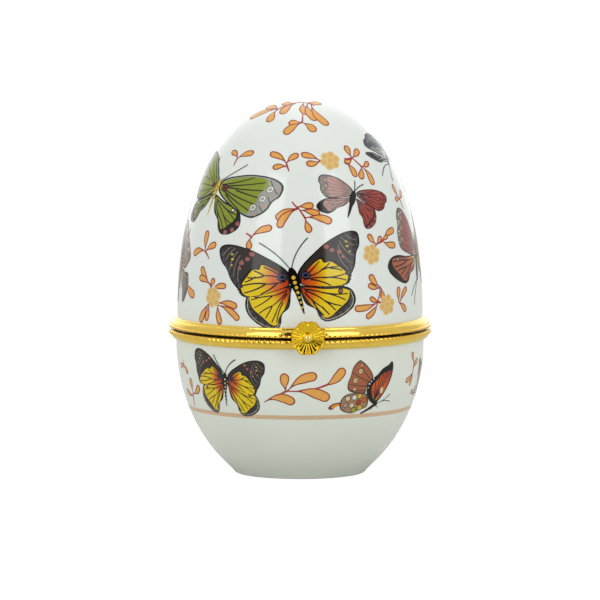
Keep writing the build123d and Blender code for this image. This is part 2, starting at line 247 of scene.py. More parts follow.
def giltBrass(name, bright, deep, low, high, dent, seamShadeStrength):
    # brass strip electroplated with gold and hand buffed: warm mirror, slightly uneven, fine wipe marks,
    # and painted shade: the colour turns dark brown in the narrow seam between the rims, where shade falls
    material, tree, place = newMaterial(name)
    _, tint = patchyColour(tree, place, buffing["patch"], 4.0, bright, deep)
    wipe = addNode(tree, "ShaderNodeMapping", {"Scale": (1.0, 1.0, buffing["stretch"])}, {"Vector": place})
    marks = addNode(tree, "ShaderNodeTexNoise", {
        "Scale": 1 / buffing["marks"], "Detail": 5.0, "Roughness": 0.6}, {"Vector": wipe})
    polish = addNode(tree, "ShaderNodeMapRange", {"To Min": low, "To Max": high}, {"Value": (marks, "Fac")})
    hammer = addNode(tree, "ShaderNodeTexNoise", {"Scale": 1 / buffing["dents"], "Detail": 2.0},
                     {"Vector": place})
    dents = addNode(tree, "ShaderNodeBump", {"Strength": dent, "Distance": buffing["dentDepth"]},
                    {"Height": (hammer, "Fac")})
    # painted shade: near the seam height on the outer rims the tint is mixed towards the dark seam colour
    axes = addNode(tree, "ShaderNodeSeparateXYZ", {}, {0: place})
    above = addNode(tree, "ShaderNodeMath", {"operation": "SUBTRACT", 1: seamZ}, {0: (axes, "Z")})
    away = addNode(tree, "ShaderNodeMath", {"operation": "ABSOLUTE"}, {0: above})
    seamShade = addNode(tree, "ShaderNodeMapRange", {
        "From Min": seamShadow["from"], "From Max": seamShadow["to"], "To Min": seamShadeStrength, "To Max": 0.0},
        {"Value": away})
    flat = addNode(tree, "ShaderNodeCombineXYZ", {}, {"X": (axes, "X"), "Y": (axes, "Y")})
    outward = addNode(tree, "ShaderNodeVectorMath", {"operation": "LENGTH"}, {0: flat})
    inSeam = addNode(tree, "ShaderNodeMapRange", {
        "From Min": seamShadow["inner"], "From Max": seamShadow["inner"] + seamShadow["innerFade"]},
        {"Value": (outward, "Value")})
    seamShade = addNode(tree, "ShaderNodeMath", {"operation": "MULTIPLY"}, {0: seamShade, 1: inSeam})
    seamShaded = addNode(tree, "ShaderNodeMix", {"data_type": "RGBA", 7: linear(seamShadow["seamShade"])},
                     {0: seamShade, 6: tint})
    metal = addNode(tree, "ShaderNodeBsdfPrincipled", {"Metallic": 1.0}, {
        "Base Color": (seamShaded, 2), "Roughness": polish, "Normal": dents})
    finishMaterial(tree, metal)
    return material


def firedTransfer(name):
    # ceramic transfer fired into the glaze: flat inks from the drawn shapes, faint print mottle,
    # a little less shine than the bare glaze
    material, tree, place = newMaterial(name)
    ink = addNode(tree, "ShaderNodeAttribute", {"attribute_name": "ink", "attribute_type": "GEOMETRY"})
    mottle = addNode(tree, "ShaderNodeTexNoise", {"Scale": 1 / (0.5 * mm), "Detail": 2.0},
                     {"Vector": place})
    shade = addNode(tree, "ShaderNodeMapRange", {"To Min": 0.88, "To Max": 1.12},
                    {"Value": (mottle, "Fac")})
    inkShade = addNode(tree, "ShaderNodeVectorMath", {"operation": "SCALE"}, {
        0: (ink, "Color"), "Scale": shade})
    gloss = addNode(tree, "ShaderNodeMapRange", {"To Min": 0.07, "To Max": 0.13},
                    {"Value": (mottle, "Fac")})
    glaze = addNode(tree, "ShaderNodeBsdfPrincipled", {"IOR": 1.42}, {
        "Base Color": inkShade, "Roughness": gloss})
    finishMaterial(tree, glaze)
    return material


def brushedLustre(name):
    # bright gold painted on with a brush and fired: thin, pinkish tan, half mirror
    material, tree, place = newMaterial(name)
    streak = addNode(tree, "ShaderNodeMapping", {"Scale": (1.0, 1.0, 6.0)}, {"Vector": place})
    _, tint = patchyColour(tree, streak, 2 * mm, 4.0, "#EFD2B0", "#D9B08A")
    lustre = addNode(tree, "ShaderNodeBsdfPrincipled", {"Metallic": 0.35, "Roughness": 0.30},
                     {"Base Color": tint})
    finishMaterial(tree, lustre)
    return material


lidGlaze = glazedPorcelain("lidGlazedPorcelain", "#F1F5EF", "#EBF0EA")
bowlGlaze = glazedPorcelain("bowlGlazedPorcelain", "#F0F4EB", "#E9EEE3")
biscuit = dustyBiscuit("unglazedFootBiscuit", "#D9D3C4", "#BDB5A3", 0.25)
cement = dustyBiscuit("mountingPlaster", "#E4DFD2", "#CFC8B8", 0.2)
# band and wire get the painted seam shade at full strength; the hinge, flower and ball get none
bandGilt = giltBrass("polishedGiltBand", "#FFE070", "#FFCE50", 0.06, 0.16, 0.42, seamShadow["depth"])
wireGilt = giltBrass("milledGiltWire", "#FFDA64", "#FFC644", 0.10, 0.22, 0.45, seamShadow["depth"])
hingeGilt = giltBrass("hingeGiltBrass", "#E8C266", "#CB9F42", 0.16, 0.30, 0.15, 0.0)
flowerGilt = giltBrass("stampedGiltFlower", "#FFD93A", "#F0C024", 0.09, 0.16, 0.05, 0.0)
ballGilt = giltBrass("burnishedGiltBall", "#FFE78E", "#F8D868", 0.05, 0.10, 0.03, 0.0)
transferInk = firedTransfer("underglazeTransfer")
lustreGold = brushedLustre("brushedGoldLustre")

keptNodes = {
    "base_rim": bandGilt, "lid_rim": bandGilt, "base_hinge_leaf": hingeGilt, "lid_hinge_leaf": hingeGilt,
    "hinge_pin": hingeGilt, "clasp_tongue": bandGilt, "catch_nib": wireGilt,
    "base_cement": cement, "lid_cement": cement,
}
for nodeName, material in keptNodes.items():
    node = nodes[nodeName]
    if node.material_slots:
        for place in node.material_slots:
            place.material = material
    else:
        node.data.materials.append(material)
print("materials made")


# turned pieces: a profile swept round the upright axis by Geometry Nodes

def buildTurningTree():
    tree = bpy.data.node_groups.new("turnAndMill", "GeometryNodeTree")
    face = tree.interface
    face.new_socket("Profile", in_out="INPUT", socket_type="NodeSocketGeometry")
    for name, kind, default in (
            ("Points around", "NodeSocketInt", 240),
            ("Nicks", "NodeSocketInt", 0), ("Nick depth", "NodeSocketFloat", 0.0),
            ("Nick share", "NodeSocketFloat", 0.5), ("Nick slant", "NodeSocketFloat", 0.0),
            ("Front radius", "NodeSocketFloat", 1.0), ("Front reach", "NodeSocketFloat", 1.0),
            ("Seam notches", "NodeSocketInt", 0), ("Notch lift", "NodeSocketFloat", 0.0),
            ("Notch share", "NodeSocketFloat", 0.1),
            ("Seam edge", "NodeSocketFloat", 0.0), ("Edge reach", "NodeSocketFloat", 1.0),
            ("Finish", "NodeSocketMaterial", None)):
        socket = face.new_socket(name, in_out="INPUT", socket_type=kind)
        if default is not None:
            socket.default_value = default
    face.new_socket("Turned", in_out="OUTPUT", socket_type="NodeSocketGeometry")
    given = addNode(tree, "NodeGroupInput")

    count = addNode(tree, "GeometryNodeAttributeDomainSize", {"component": "MESH"}, {0: (given, "Profile")})
    rows = (count, "Point Count")
    columns = addNode(tree, "ShaderNodeMath", {"operation": "ADD", 1: 1}, {0: (given, "Points around")})
    grid = addNode(tree, "GeometryNodeMeshGrid", {}, {"Vertices X": columns, "Vertices Y": rows})
    index = addNode(tree, "GeometryNodeInputIndex")
    safe = addNode(tree, "ShaderNodeMath", {"operation": "ADD", 1: 0.5}, {0: index})
    ratio = addNode(tree, "ShaderNodeMath", {"operation": "DIVIDE"}, {0: safe, 1: rows})
    column = addNode(tree, "ShaderNodeMath", {"operation": "FLOOR"}, {0: ratio})
    passed = addNode(tree, "ShaderNodeMath", {"operation": "MULTIPLY"}, {0: column, 1: rows})
    rest = addNode(tree, "ShaderNodeMath", {"operation": "SUBTRACT"}, {0: safe, 1: passed})
    row = addNode(tree, "ShaderNodeMath", {"operation": "FLOOR"}, {0: rest})
    point = addNode(tree, "GeometryNodeSampleIndex", {"data_type": "FLOAT_VECTOR", "domain": "POINT"}, {
        "Geometry": (given, "Profile"), "Value": addNode(tree, "GeometryNodeInputPosition"), "Index": row})
    parts = addNode(tree, "ShaderNodeSeparateXYZ", {}, {0: (point, "Value")})
    radius, height = (parts, "X"), (parts, "Z")
    share = addNode(tree, "ShaderNodeMath", {"operation": "DIVIDE"},
                    {0: column, 1: (given, "Points around")})  # part of a whole turn

    def pulse(number, wide, shift):
        # 1 in the middle of each cut and 0 between cuts
        turns = addNode(tree, "ShaderNodeMath", {"operation": "MULTIPLY_ADD"},
                        {0: share, 1: number, 2: shift})
        part = addNode(tree, "ShaderNodeMath", {"operation": "FRACT"}, {0: turns})
        middle = addNode(tree, "ShaderNodeMath", {"operation": "SUBTRACT", 1: 0.5}, {0: part})
        off = addNode(tree, "ShaderNodeMath", {"operation": "ABSOLUTE"}, {0: middle})
        half = addNode(tree, "ShaderNodeMath", {"operation": "MULTIPLY", 1: 0.5}, {0: wide})
        return addNode(tree, "ShaderNodeMapRange", {
            "interpolation_type": "SMOOTHSTEP", "From Min": 0, "To Min": 1, "To Max": 0},
            {"Value": off, "From Max": half})

    def near(value, target, reach):
        # 1 at the target, fading to 0 a reach away
        gap = addNode(tree, "ShaderNodeMath", {"operation": "SUBTRACT"}, {0: value, 1: target})
        off = addNode(tree, "ShaderNodeMath", {"operation": "ABSOLUTE"}, {0: gap})
        return addNode(tree, "ShaderNodeMapRange", {"From Min": 0, "To Min": 1, "To Max": 0},
                       {"Value": off, "From Max": reach})

    above = addNode(tree, "ShaderNodeMath", {"operation": "SUBTRACT"}, {0: height, 1: (given, "Seam edge")})
    lean = addNode(tree, "ShaderNodeMath", {"operation": "MULTIPLY"}, {0: above, 1: (given, "Nick slant")})
    straight = addNode(tree, "ShaderNodeValue")  # the seam notches don't lean
    nick = addNode(tree, "ShaderNodeMath", {"operation": "MULTIPLY"}, {
        0: pulse((given, "Nicks"), (given, "Nick share"), lean), 1: (given, "Nick depth")})
    cut = addNode(tree, "ShaderNodeMath", {"operation": "MULTIPLY"}, {
        0: nick, 1: near(radius, (given, "Front radius"), (given, "Front reach"))})
    notch = addNode(tree, "ShaderNodeMath", {"operation": "MULTIPLY"}, {
        0: pulse((given, "Seam notches"), (given, "Notch share"), straight), 1: (given, "Notch lift")})
    lift = addNode(tree, "ShaderNodeMath", {"operation": "MULTIPLY"}, {
        0: notch, 1: near(height, (given, "Seam edge"), (given, "Edge reach"))})
    reach = addNode(tree, "ShaderNodeMath", {"operation": "SUBTRACT"}, {0: radius, 1: cut})
    angle = addNode(tree, "ShaderNodeMath", {"operation": "MULTIPLY", 1: 2 * pi}, {0: share})
    across = addNode(tree, "ShaderNodeMath", {"operation": "SINE"}, {0: angle})
    along = addNode(tree, "ShaderNodeMath", {"operation": "COSINE"}, {0: angle})
    front = addNode(tree, "ShaderNodeMath", {"operation": "MULTIPLY", 1: -1.0}, {0: along})
    sideways = addNode(tree, "ShaderNodeMath", {"operation": "MULTIPLY"}, {0: reach, 1: across})
    forwards = addNode(tree, "ShaderNodeMath", {"operation": "MULTIPLY"}, {0: reach, 1: front})
    level = addNode(tree, "ShaderNodeMath", {"operation": "ADD"}, {0: height, 1: lift})
    spot = addNode(tree, "ShaderNodeCombineXYZ", {}, {"X": sideways, "Y": forwards, "Z": level})
    turned = addNode(tree, "GeometryNodeSetPosition", {}, {"Geometry": (grid, "Mesh"), "Position": spot})
    closed = addNode(tree, "GeometryNodeMergeByDistance", {"Distance": 0.002 * mm}, {0: turned})
    smooth = addNode(tree, "GeometryNodeSetShadeSmooth", {}, {0: closed})
    real = addNode(tree, "GeometryNodeRealizeInstances", {}, {0: smooth})
    done = addNode(tree, "GeometryNodeSetMaterial", {}, {0: real, "Material": (given, "Finish")})
    addNode(tree, "NodeGroupOutput", {}, {0: done})
    return tree


turningTree = buildTurningTree()


def turnPiece(name, profile, finish, sizes=None, sharpFrom=35):
    # profile is a line of (radius, height) in mm
    line = bpy.data.meshes.new(name + "Profile")
    line.from_pydata([(r * mm, 0, z * mm) for r, z in profile],
                     [(i, i + 1) for i in range(len(profile) - 1)], [])
    piece = newPiece(name, line)
    values = dict(sizes or {}, Finish=finish)
    modifier = piece.modifiers.new("turning", "NODES")
    modifier.node_group = turningTree
    for socket in turningTree.interface.items_tree:
        if socket.item_type == "SOCKET" and socket.in_out == "INPUT":
            if socket.name in values:
                modifier[socket.identifier] = values[socket.name]
            elif socket.socket_type in ("NodeSocketInt", "NodeSocketFloat"):
                modifier[socket.identifier] = socket.default_value
    bpy.context.view_layer.update()
    mesh = bpy.data.meshes.new_from_object(piece.evaluated_get(bpy.context.evaluated_depsgraph_get()))
    piece.modifiers.remove(modifier)
    cleaner = bmesh.new()
    cleaner.from_mesh(mesh)
    bmesh.ops.dissolve_degenerate(cleaner, edges=cleaner.edges, dist=0.001 * mm)
    bmesh.ops.delete(cleaner, geom=[e for e in cleaner.edges if not e.link_faces], context="EDGES")
    bmesh.ops.delete(cleaner, geom=[v for v in cleaner.verts if not v.link_faces], context="VERTS")
    bmesh.ops.recalc_face_normals(cleaner, faces=cleaner.faces)
    cleaner.to_mesh(mesh)
    cleaner.free()
    mesh.set_sharp_from_angle(angle=radians(sharpFrom))
    mesh.name = name
    piece.data = mesh
    return piece


lidShape = {
    "radius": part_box("lid_shell")[1].x / mm, "top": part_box("lid_shell")[1].z / mm,
    "bottom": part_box("lid_shell")[0].z / mm, "seam": seamZ / mm, "power": 2.44,
    "innerRadius": 30.0, "innerTop": 97.2, "innerFrom": 40.95, "rings": 110,
}
bowlShape = {
    "radius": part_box("base_shell")[1].x / mm, "top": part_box("base_shell")[1].z / mm,
    "straightFrom": 35.5, "drop": 41.0, "footTop": 3.0, "footRadius": 17.6, "footCorner": 0.9,
    "ringInner": 14.6, "recess": 1.6, "floor": 5.2, "innerRadius": 30.05,
    "innerPower": 2.7, "spring": 36.65, "rings": 60, "innerRings": 48, "cornerSteps": 5, "bare": 0.12,
}


def domeLine(radius, low, high, power, start, rings):
    # points up a dome from height start to its crown
    line = []
    for i in range(rings + 1):
        rise = sin(pi / 2 * i / rings) ** (2 / power)
        z = low + (high - low) * rise
        if z > start + 0.05:
            line.append((radius * cos(pi / 2 * i / rings), z))
    first = radius * sqrt(1 - max(0, (start - low) / (high - low)) ** power)
    return [(first, start)] + line[:-1] + [(0.0, high)]


def bowlRadius(z):
    s = bowlShape
    if z >= s["straightFrom"]:
        return s["radius"]
    if z >= s["footTop"]:
        return s["radius"] * sqrt(1 - ((s["straightFrom"] - z) / s["drop"]) ** 2)
    edge = s["radius"] * sqrt(1 - ((s["straightFrom"] - s["footTop"]) / s["drop"]) ** 2)
    return s["footRadius"] + (edge - s["footRadius"]) * z / s["footTop"]


def lidProfile():
    s = lidShape
    outer = domeLine(s["radius"], s["seam"], s["top"], s["power"], s["bottom"], s["rings"])
    inner = domeLine(s["innerRadius"], s["innerFrom"], s["innerTop"], s["power"], s["innerFrom"], 60)
    return list(reversed(inner)) + [(s["innerRadius"], s["bottom"])] + outer


def bowlOutside():
    s = bowlShape
    steps = s["rings"]
    line = [(s["radius"], s["top"])]
    fall = s["straightFrom"] - s["footTop"]
    line += [(bowlRadius(s["straightFrom"] - fall * i / steps), s["straightFrom"] - fall * i / steps)
             for i in range(steps + 1)]
    return line


def bowlProfile():
    s = bowlShape
    line = [(0.0, s["floor"])]
    for i in range(1, s["innerRings"] + 1):
        a = pi / 2 * (1 - i / s["innerRings"])
        line.append((s["innerRadius"] * cos(a) ** (2 / s["innerPower"]),
                     s["spring"] - (s["spring"] - s["floor"]) * sin(a) ** (2 / s["innerPower"])))
    line += [(s["innerRadius"], s["top"])]
    line += bowlOutside()
    corner = s["footCorner"]
    line.append((s["footRadius"] + 0.22, corner * 0.9))
    for i in range(1, s["cornerSteps"] + 1):
        part = i / s["cornerSteps"]
        a = pi / 2 * part
        line.append((s["footRadius"] - corner * (1 - cos(a)) + 0.12 * (1 - part), corner * (1 - sin(a))))
    line += [(s["ringInner"] + 0.3, 0.0), (s["ringInner"], 0.3), (s["ringInner"] - 0.15, s["recess"] - 0.3),
             (s["ringInner"] - 0.5, s["recess"]), (0.0, s["recess"])]
    return line


lidBody = turnPiece("lid_porcelain", lidProfile(), lidGlaze)
sendOut(lidBody, "lid", ["lid_shell"])

bowlBody = turnPiece("bowl_porcelain", bowlProfile(), bowlGlaze)
bowlBody.data.materials.append(biscuit)  # the foot ring is wiped clean of glaze
for polygon in bowlBody.data.polygons:
    if polygon.center.z < bowlShape["bare"] * mm:
        polygon.material_index = 1
sendOut(bowlBody, "base", ["base_shell"])

stripe = {"height": 17.8, "width": 1.1, "lift": 0.035, "root": 0.15}
stripeLow, stripeHigh = stripe["height"] - stripe["width"] / 2, stripe["height"] + stripe["width"] / 2
stripeHeights = [stripeLow + (stripeHigh - stripeLow) * i / 4 for i in range(5)]
stripeLine = [(bowlRadius(z) + stripe["lift"], z) for z in stripeHeights]
stripeLine += [(bowlRadius(z) - stripe["root"], z) for z in reversed(stripeHeights)]
stripePiece = turnPiece("gold_line", stripeLine + stripeLine[:1], lustreGold)
sendOut(stripePiece, "base", [])

# milled edge wires: slanted nicks along the front and small cuts that open the dark seam
wire = {"nicks": 144, "nickDepth": 0.24 * mm, "nickShare": 0.62, "slant": 420.0, "front": 34.85 * mm,
        "notches": 48, "notchShare": 0.10, "lift": 0.14 * mm, "inner": 34.1, "around": 1152,
        "sharpFrom": 60}


def wireLine(node, flank):
    low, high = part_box(node)
    inner, outer = wire["inner"], high.x / mm
    z0, z1 = low.z / mm, high.z / mm
    middle, half = (z0 + z1) / 2, (z1 - z0) / 2
    front = [(flank + (outer - flank) * cos(a), middle + half * sin(a))
             for a in (pi / 2 - pi * i / 10 for i in range(11))]
    loop = [(inner, z1)] + front + [(inner, z0)]
    return loop + loop[:1]


for name, node, body, flank, depth, reach, way, edge, edgeReach in (
        ("bowl_milled_wire", "base_bead_wire", "base", 34.38, 1.0, 0.40, -1, 38.45, 0.5),
        ("lid_milled_wire", "lid_bead_wire", "lid", 34.55, 0.7, 0.30, 1, 39.10, 0.4)):
    wirePiece = turnPiece(name, wireLine(node, flank), wireGilt, {
        "Points around": wire["around"], "Nicks": wire["nicks"], "Nick depth": wire["nickDepth"] * depth,
        "Nick share": wire["nickShare"], "Nick slant": -way * wire["slant"],
        "Front radius": wire["front"], "Front reach": reach * mm,
        "Seam notches": wire["notches"], "Notch lift": way * wire["lift"],
        "Notch share": wire["notchShare"],
        "Seam edge": edge * mm, "Edge reach": edgeReach * mm}, wire["sharpFrom"])
    sendOut(wirePiece, body, [node])
print("porcelain, gold line and wires turned")


# clasp flower and its ball

flower = {
    # sizes in mm
    "petals": 8, "notchRadius": 4.12, "tipRadius": 4.55, "flat": 1.2, "rise": 0.62, "thick": 0.35,
    "flutesPerPetal": 3, "ridge": 0.14, "pit": 0.25, "pitWide": 0.45, "pitAt": 0.5,
    "rollWide": 0.34, "rollHigh": 0.26, "flutesFrom": 1.35, "flutesGrow": 1.6, "hub": 0.25,
    "around": 480, "rings": 24, "sharpFrom": 55,
}


def buildFlower():
    s = flower
    low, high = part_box("clasp_flower")
    centreZ, backY = (low.z + high.z) / 2 / mm, high.y / mm
    flutes, tipRadius = s["petals"] * s["flutesPerPetal"], s["tipRadius"]
    mesh = bmesh.new()

    def edgeRadius(a):
        off = (a / (2 * pi) * s["petals"]) % 1 - 0.5  # petal centres lie midway between the notches
        return s["notchRadius"] + (s["tipRadius"] - s["notchRadius"]) * max(0, cos(pi * off)) ** 0.7

    def dish(r, a, edge):
        # how far the front stands forward of the flat middle
        forward = max(0, r - s["flat"]) * s["rise"] / (tipRadius - s["flat"])
        grown = min(1, max(0, (r - s["flutesFrom"]) / s["flutesGrow"]))
        grown = grown * min(1, max(0, (edge - r - 0.2) / 0.25))  # the flutes fade before the rolled edge
        notch = (0.5 + 0.5 * cos(a * s["petals"])) ** 6  # 1 at the gaps between petals
        ridge = (0.5 - 0.5 * cos(a * flutes)) ** 7  # narrow raised ribs between broad hollows
        pit = notch * max(0, 1 - abs(edge - r - s["pitAt"]) / s["pitWide"])
        return forward + grown * s["ridge"] * ridge - s["pit"] * pit

    frontRings, backRings = [], []
    for k in range(s["rings"] + 1):
        part = k / s["rings"]
        front, rear = [], []
        for j in range(s["around"]):
            a = 2 * pi * j / s["around"]
            edge = edgeRadius(a)
            base = s["hub"] + part * (tipRadius - s["hub"])
            r = base + (edge - tipRadius) * part ** 3
            roll = s["rollHigh"] * max(0,
                                       1 - abs(edge - r - s["rollWide"] / 2) / (s["rollWide"] / 2)) ** 0.6
            y = backY - s["thick"] - dish(r, a, edge) - roll
            x, z = r * cos(a), centreZ + r * sin(a)
            front.append(mesh.verts.new((x * mm, y * mm, z * mm)))
            rearR = max(0.2, r - 0.05)
            plain = max(0, r - s["flat"]) * s["rise"] / (tipRadius - s["flat"])
            rear.append(mesh.verts.new((rearR * cos(a) * mm, (backY - plain) * mm,
                                        (centreZ + rearR * sin(a)) * mm)))
        frontRings.append(front)
        backRings.append(rear)
    n = s["around"]
    for rings, flip in ((frontRings, False), (backRings, True)):
        for k in range(s["rings"]):
            for j in range(n):
                quad = [rings[k][j], rings[k][(j + 1) % n], rings[k + 1][(j + 1) % n], rings[k + 1][j]]
                mesh.faces.new(list(reversed(quad)) if flip else quad)
        middleY = (backY - s["thick"] if rings is frontRings else backY) * mm
        hub = mesh.verts.new((0, middleY, centreZ * mm))
        for j in range(n):
            tri = [hub, rings[0][(j + 1) % n], rings[0][j]]
            mesh.faces.new(tri)
    for j in range(n):
        mesh.faces.new([frontRings[-1][j], frontRings[-1][(j + 1) % n],
                        backRings[-1][(j + 1) % n], backRings[-1][j]])
    bmesh.ops.recalc_face_normals(mesh, faces=mesh.faces)
    for f in mesh.faces:
        f.smooth = True
    data = bpy.data.meshes.new("clasp_rosette")
    mesh.to_mesh(data)
    mesh.free()
    data.set_sharp_from_angle(angle=radians(flower["sharpFrom"]))
    data.materials.append(flowerGilt)
    return newPiece("clasp_rosette", data)


rosette = buildFlower()
sendOut(rosette, "lid", ["clasp_flower"])

ball = {"radius": 1.2, "neck": 0.9, "neckHigh": 0.04, "tail": 0.55}


def buildBall():
    low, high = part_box("clasp_boss")
    centre = Vector((0, 0, (low.z + high.z) / 2))
    r = ball["radius"]
    seat = -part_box("clasp_flower")[1].y / mm + flower["thick"]  # front of the dish, forwards
    ballAt = -low.y / mm - r
    line = [(0.0, -high.y / mm), (ball["tail"], -high.y / mm), (ball["tail"], seat - 0.2),
            (ball["neck"], seat - 0.1), (ball["neck"], seat + ball["neckHigh"])]
    start = asin(0.5)
    for i in range(29):
        a = -start + (pi / 2 + start) * i / 28
        if ballAt + r * sin(a) > seat + ball["neckHigh"]:
            line.append((r * cos(a), ballAt + r * sin(a)))
    line[-1] = (0.0, ballAt + r)
    piece = turnPiece("clasp_ball", line, ballGilt, {"Points around": 64}, 40)
    piece.data.transform(Matrix.Translation(centre) @ Matrix.Rotation(radians(90), 4, "X"))
    return piece


ballPiece = buildBall()
sendOut(ballPiece, "lid", ["clasp_boss"])
print("clasp made")


# printed butterflies and sprigs
# Every motif is drawn flat in mm (x right, y up), cut into one layer of triangles, and laid on the glaze.

inks = {
    "black": "#120D0B", "soot": "#241D1A", "slate": "#4B4B57", "plum": "#57506A", "night": "#2B2B4E",
    "yellow": "#EBCB16", "amber": "#E79A1E", "orange": "#D8641C", "red": "#B23A20", "wine": "#7E2F2A",
    "rose": "#A3605C", "brick": "#A8493C", "rust": "#AE6240", "blush": "#BE8F86", "cream": "#DCCDA0",
    "gold": "#D9B93C", "green": "#8C982C", "lime": "#A6A93A", "mist": "#9C9E97", "stone": "#7B746E",
    "brown": "#5C4636", "coal": "#352E2C", "tan": "#A88363", "white": "#E6E6DC", "leaf": "#EBAB56",
    "leafPale": "#F0C08E", "leafLine": "#9C3A30", "stem": "#BE3F42", "petal": "#E9C57E",
    "petalRing": "#D69A42", "antenna": "#3B4546",
}
inkColours = {name: linear(code)[:3] for name, code in inks.items()}


def blendInk(stops):
    # stops are (share, ink name); gives the colour at a share from 0 to 1
    def pick(share):
        share = min(1, max(0, share))
        for (s0, a), (s1, b) in zip(stops, stops[1:]):
            if share <= s1:
                k = (share - s0) / max(1e-6, s1 - s0)
                return tuple(p + (q - p) * k for p, q in zip(inkColours[a], inkColours[b]))
        return inkColours[stops[-1][1]]
    return pick


def smoothLoop(points, steps=4):
    # closed smooth line through the given points
    out, n = [], len(points)
    for i in range(n):
        p0, p1, p2, p3 = (points[(i + k - 1) % n] for k in range(4))
        for j in range(steps):
            t = j / steps
            out.append(tuple(0.5 * (2 * b + (c - a) * t + (2 * a - 5 * b + 4 * c - d) * t * t
                                    + (3 * b - a - 3 * c + d) * t ** 3)
                             for a, b, c, d in zip(p0, p1, p2, p3)))
    return out


def disc(x, y, radius, ink, sides=14, squash=1.0):
    return ([(x + radius * cos(2 * pi * i / sides), y + radius * squash * sin(2 * pi * i / sides))
             for i in range(sides)], ink)


def arcPoint(start, end, bend, t):
    # a share of the way along an arc that bulges to its left by bend times its length
    (x0, y0), (x1, y1) = start, end
    mx, my = (x0 + x1) / 2 - (y1 - y0) * bend, (y0 + y1) / 2 + (x1 - x0) * bend
    return ((1 - t) ** 2 * x0 + 2 * t * (1 - t) * mx + t * t * x1,
            (1 - t) ** 2 * y0 + 2 * t * (1 - t) * my + t * t * y1)


def arcLine(start, end, bend, steps=8):
    return [arcPoint(start, end, bend, i / steps) for i in range(steps + 1)]


def ribbon(line, widths):
    # outline of a stroke along line; widths(share) is its half width
    left, right = [], []
    for i, (x, y) in enumerate(line):
        (ax, ay), (bx, by) = line[max(0, i - 1)], line[min(len(line) - 1, i + 1)]
        length = hypot(bx - ax, by - ay) or 1
        nx, ny, w = -(by - ay) / length, (bx - ax) / length, widths(i / (len(line) - 1))
        left.append((x + nx * w, y + ny * w))
        right.append((x - nx * w, y - ny * w))
    return left + right[::-1]


def stroke(start, end, bend, w0, w1, ink, steps=8):
    return (ribbon(arcLine(start, end, bend, steps), lambda t: w0 + (w1 - w0) * t), ink)


leafShape = {"width": 0.95, "line": 0.33, "stalk": 0.14, "swellFrom": 0.06, "swellOver": 0.58, "steps": 16}


def leaf(root, tip, bend=0.2, width=leafShape["width"]):
    # club-ended leaf: a thin stem that swells to a round end, red-brown line round an orange fill
    length = hypot(tip[0] - root[0], tip[1] - root[1])
    width, line, n = min(width, 0.30 * length), leafShape["line"], leafShape["steps"]

    def cut(first, last, inset):
        shares = [first + (last - first) * (1 - (1 - i / n) ** 1.7) for i in range(n + 1)]
        spine, halves = [], []
        for t in shares:
            spine.append(arcPoint(root, tip, bend, t))
            grow = min(1, max(0, (t - leafShape["swellFrom"]) / leafShape["swellOver"]))
            body = leafShape["stalk"] + (width - leafShape["stalk"]) * grow * grow * (3 - 2 * grow) - inset
            gap = (1 - t) * length
            if gap < width:
                body = min(body, sqrt(max(0, (width - inset) ** 2 - (width - gap) ** 2)))
            halves.append(max(0.02, body))
        return ribbon(spine, lambda t: halves[round(t * n)])

    pale = blendInk([(0, "leafPale"), (0.45, "leaf"), (1, "leaf")])
    return [(cut(0, 1, 0), "leafLine"),
            (cut(0.24, 1 - line / length, line),
             lambda x, y: pale(hypot(x - root[0], y - root[1]) / max(0.1, length)))]


def sprig(stems, leaves):
    shapes = []
    for x0, y0, x1, y1, bend in stems:
        shapes.append(stroke((x0, y0), (x1, y1), bend, 0.17, 0.28, "stem"))
    for item in leaves:
        x0, y0, x1, y1, bend = item[:5]
        shapes += leaf((x0, y0), (x1, y1), bend, item[5] * 1.12 if len(item) > 5 else leafShape["width"])
    return shapes


blossomShape = {"size": 1.25, "petals": 6, "petalAt": 1.32, "petal": 0.92, "middle": 0.9, "ringAt": 1.42,
                "ring": 0.40, "ringHole": 0.26, "turned": 15}


def blossom(x, y):
    # soft flower with a small ring on each petal and one in the middle
    s, size = blossomShape, blossomShape["size"]
    ways = [radians(360 / s["petals"] * i + s["turned"]) for i in range(s["petals"])]
    r = s["petalAt"] * size
    shapes = [disc(x + r * cos(a), y + r * sin(a), s["petal"] * size, "petal") for a in ways]
    shapes.append(disc(x, y, s["middle"] * size, "petal"))
    for a, r in [(a, s["ringAt"] * size) for a in ways] + [(0, 0)]:
        shapes.append(disc(x + r * cos(a), y + r * sin(a), s["ring"] * size, "petalRing", 12))
        shapes.append(disc(x + r * cos(a), y + r * sin(a), s["ringHole"] * size, "petal", 10))
    return shapes


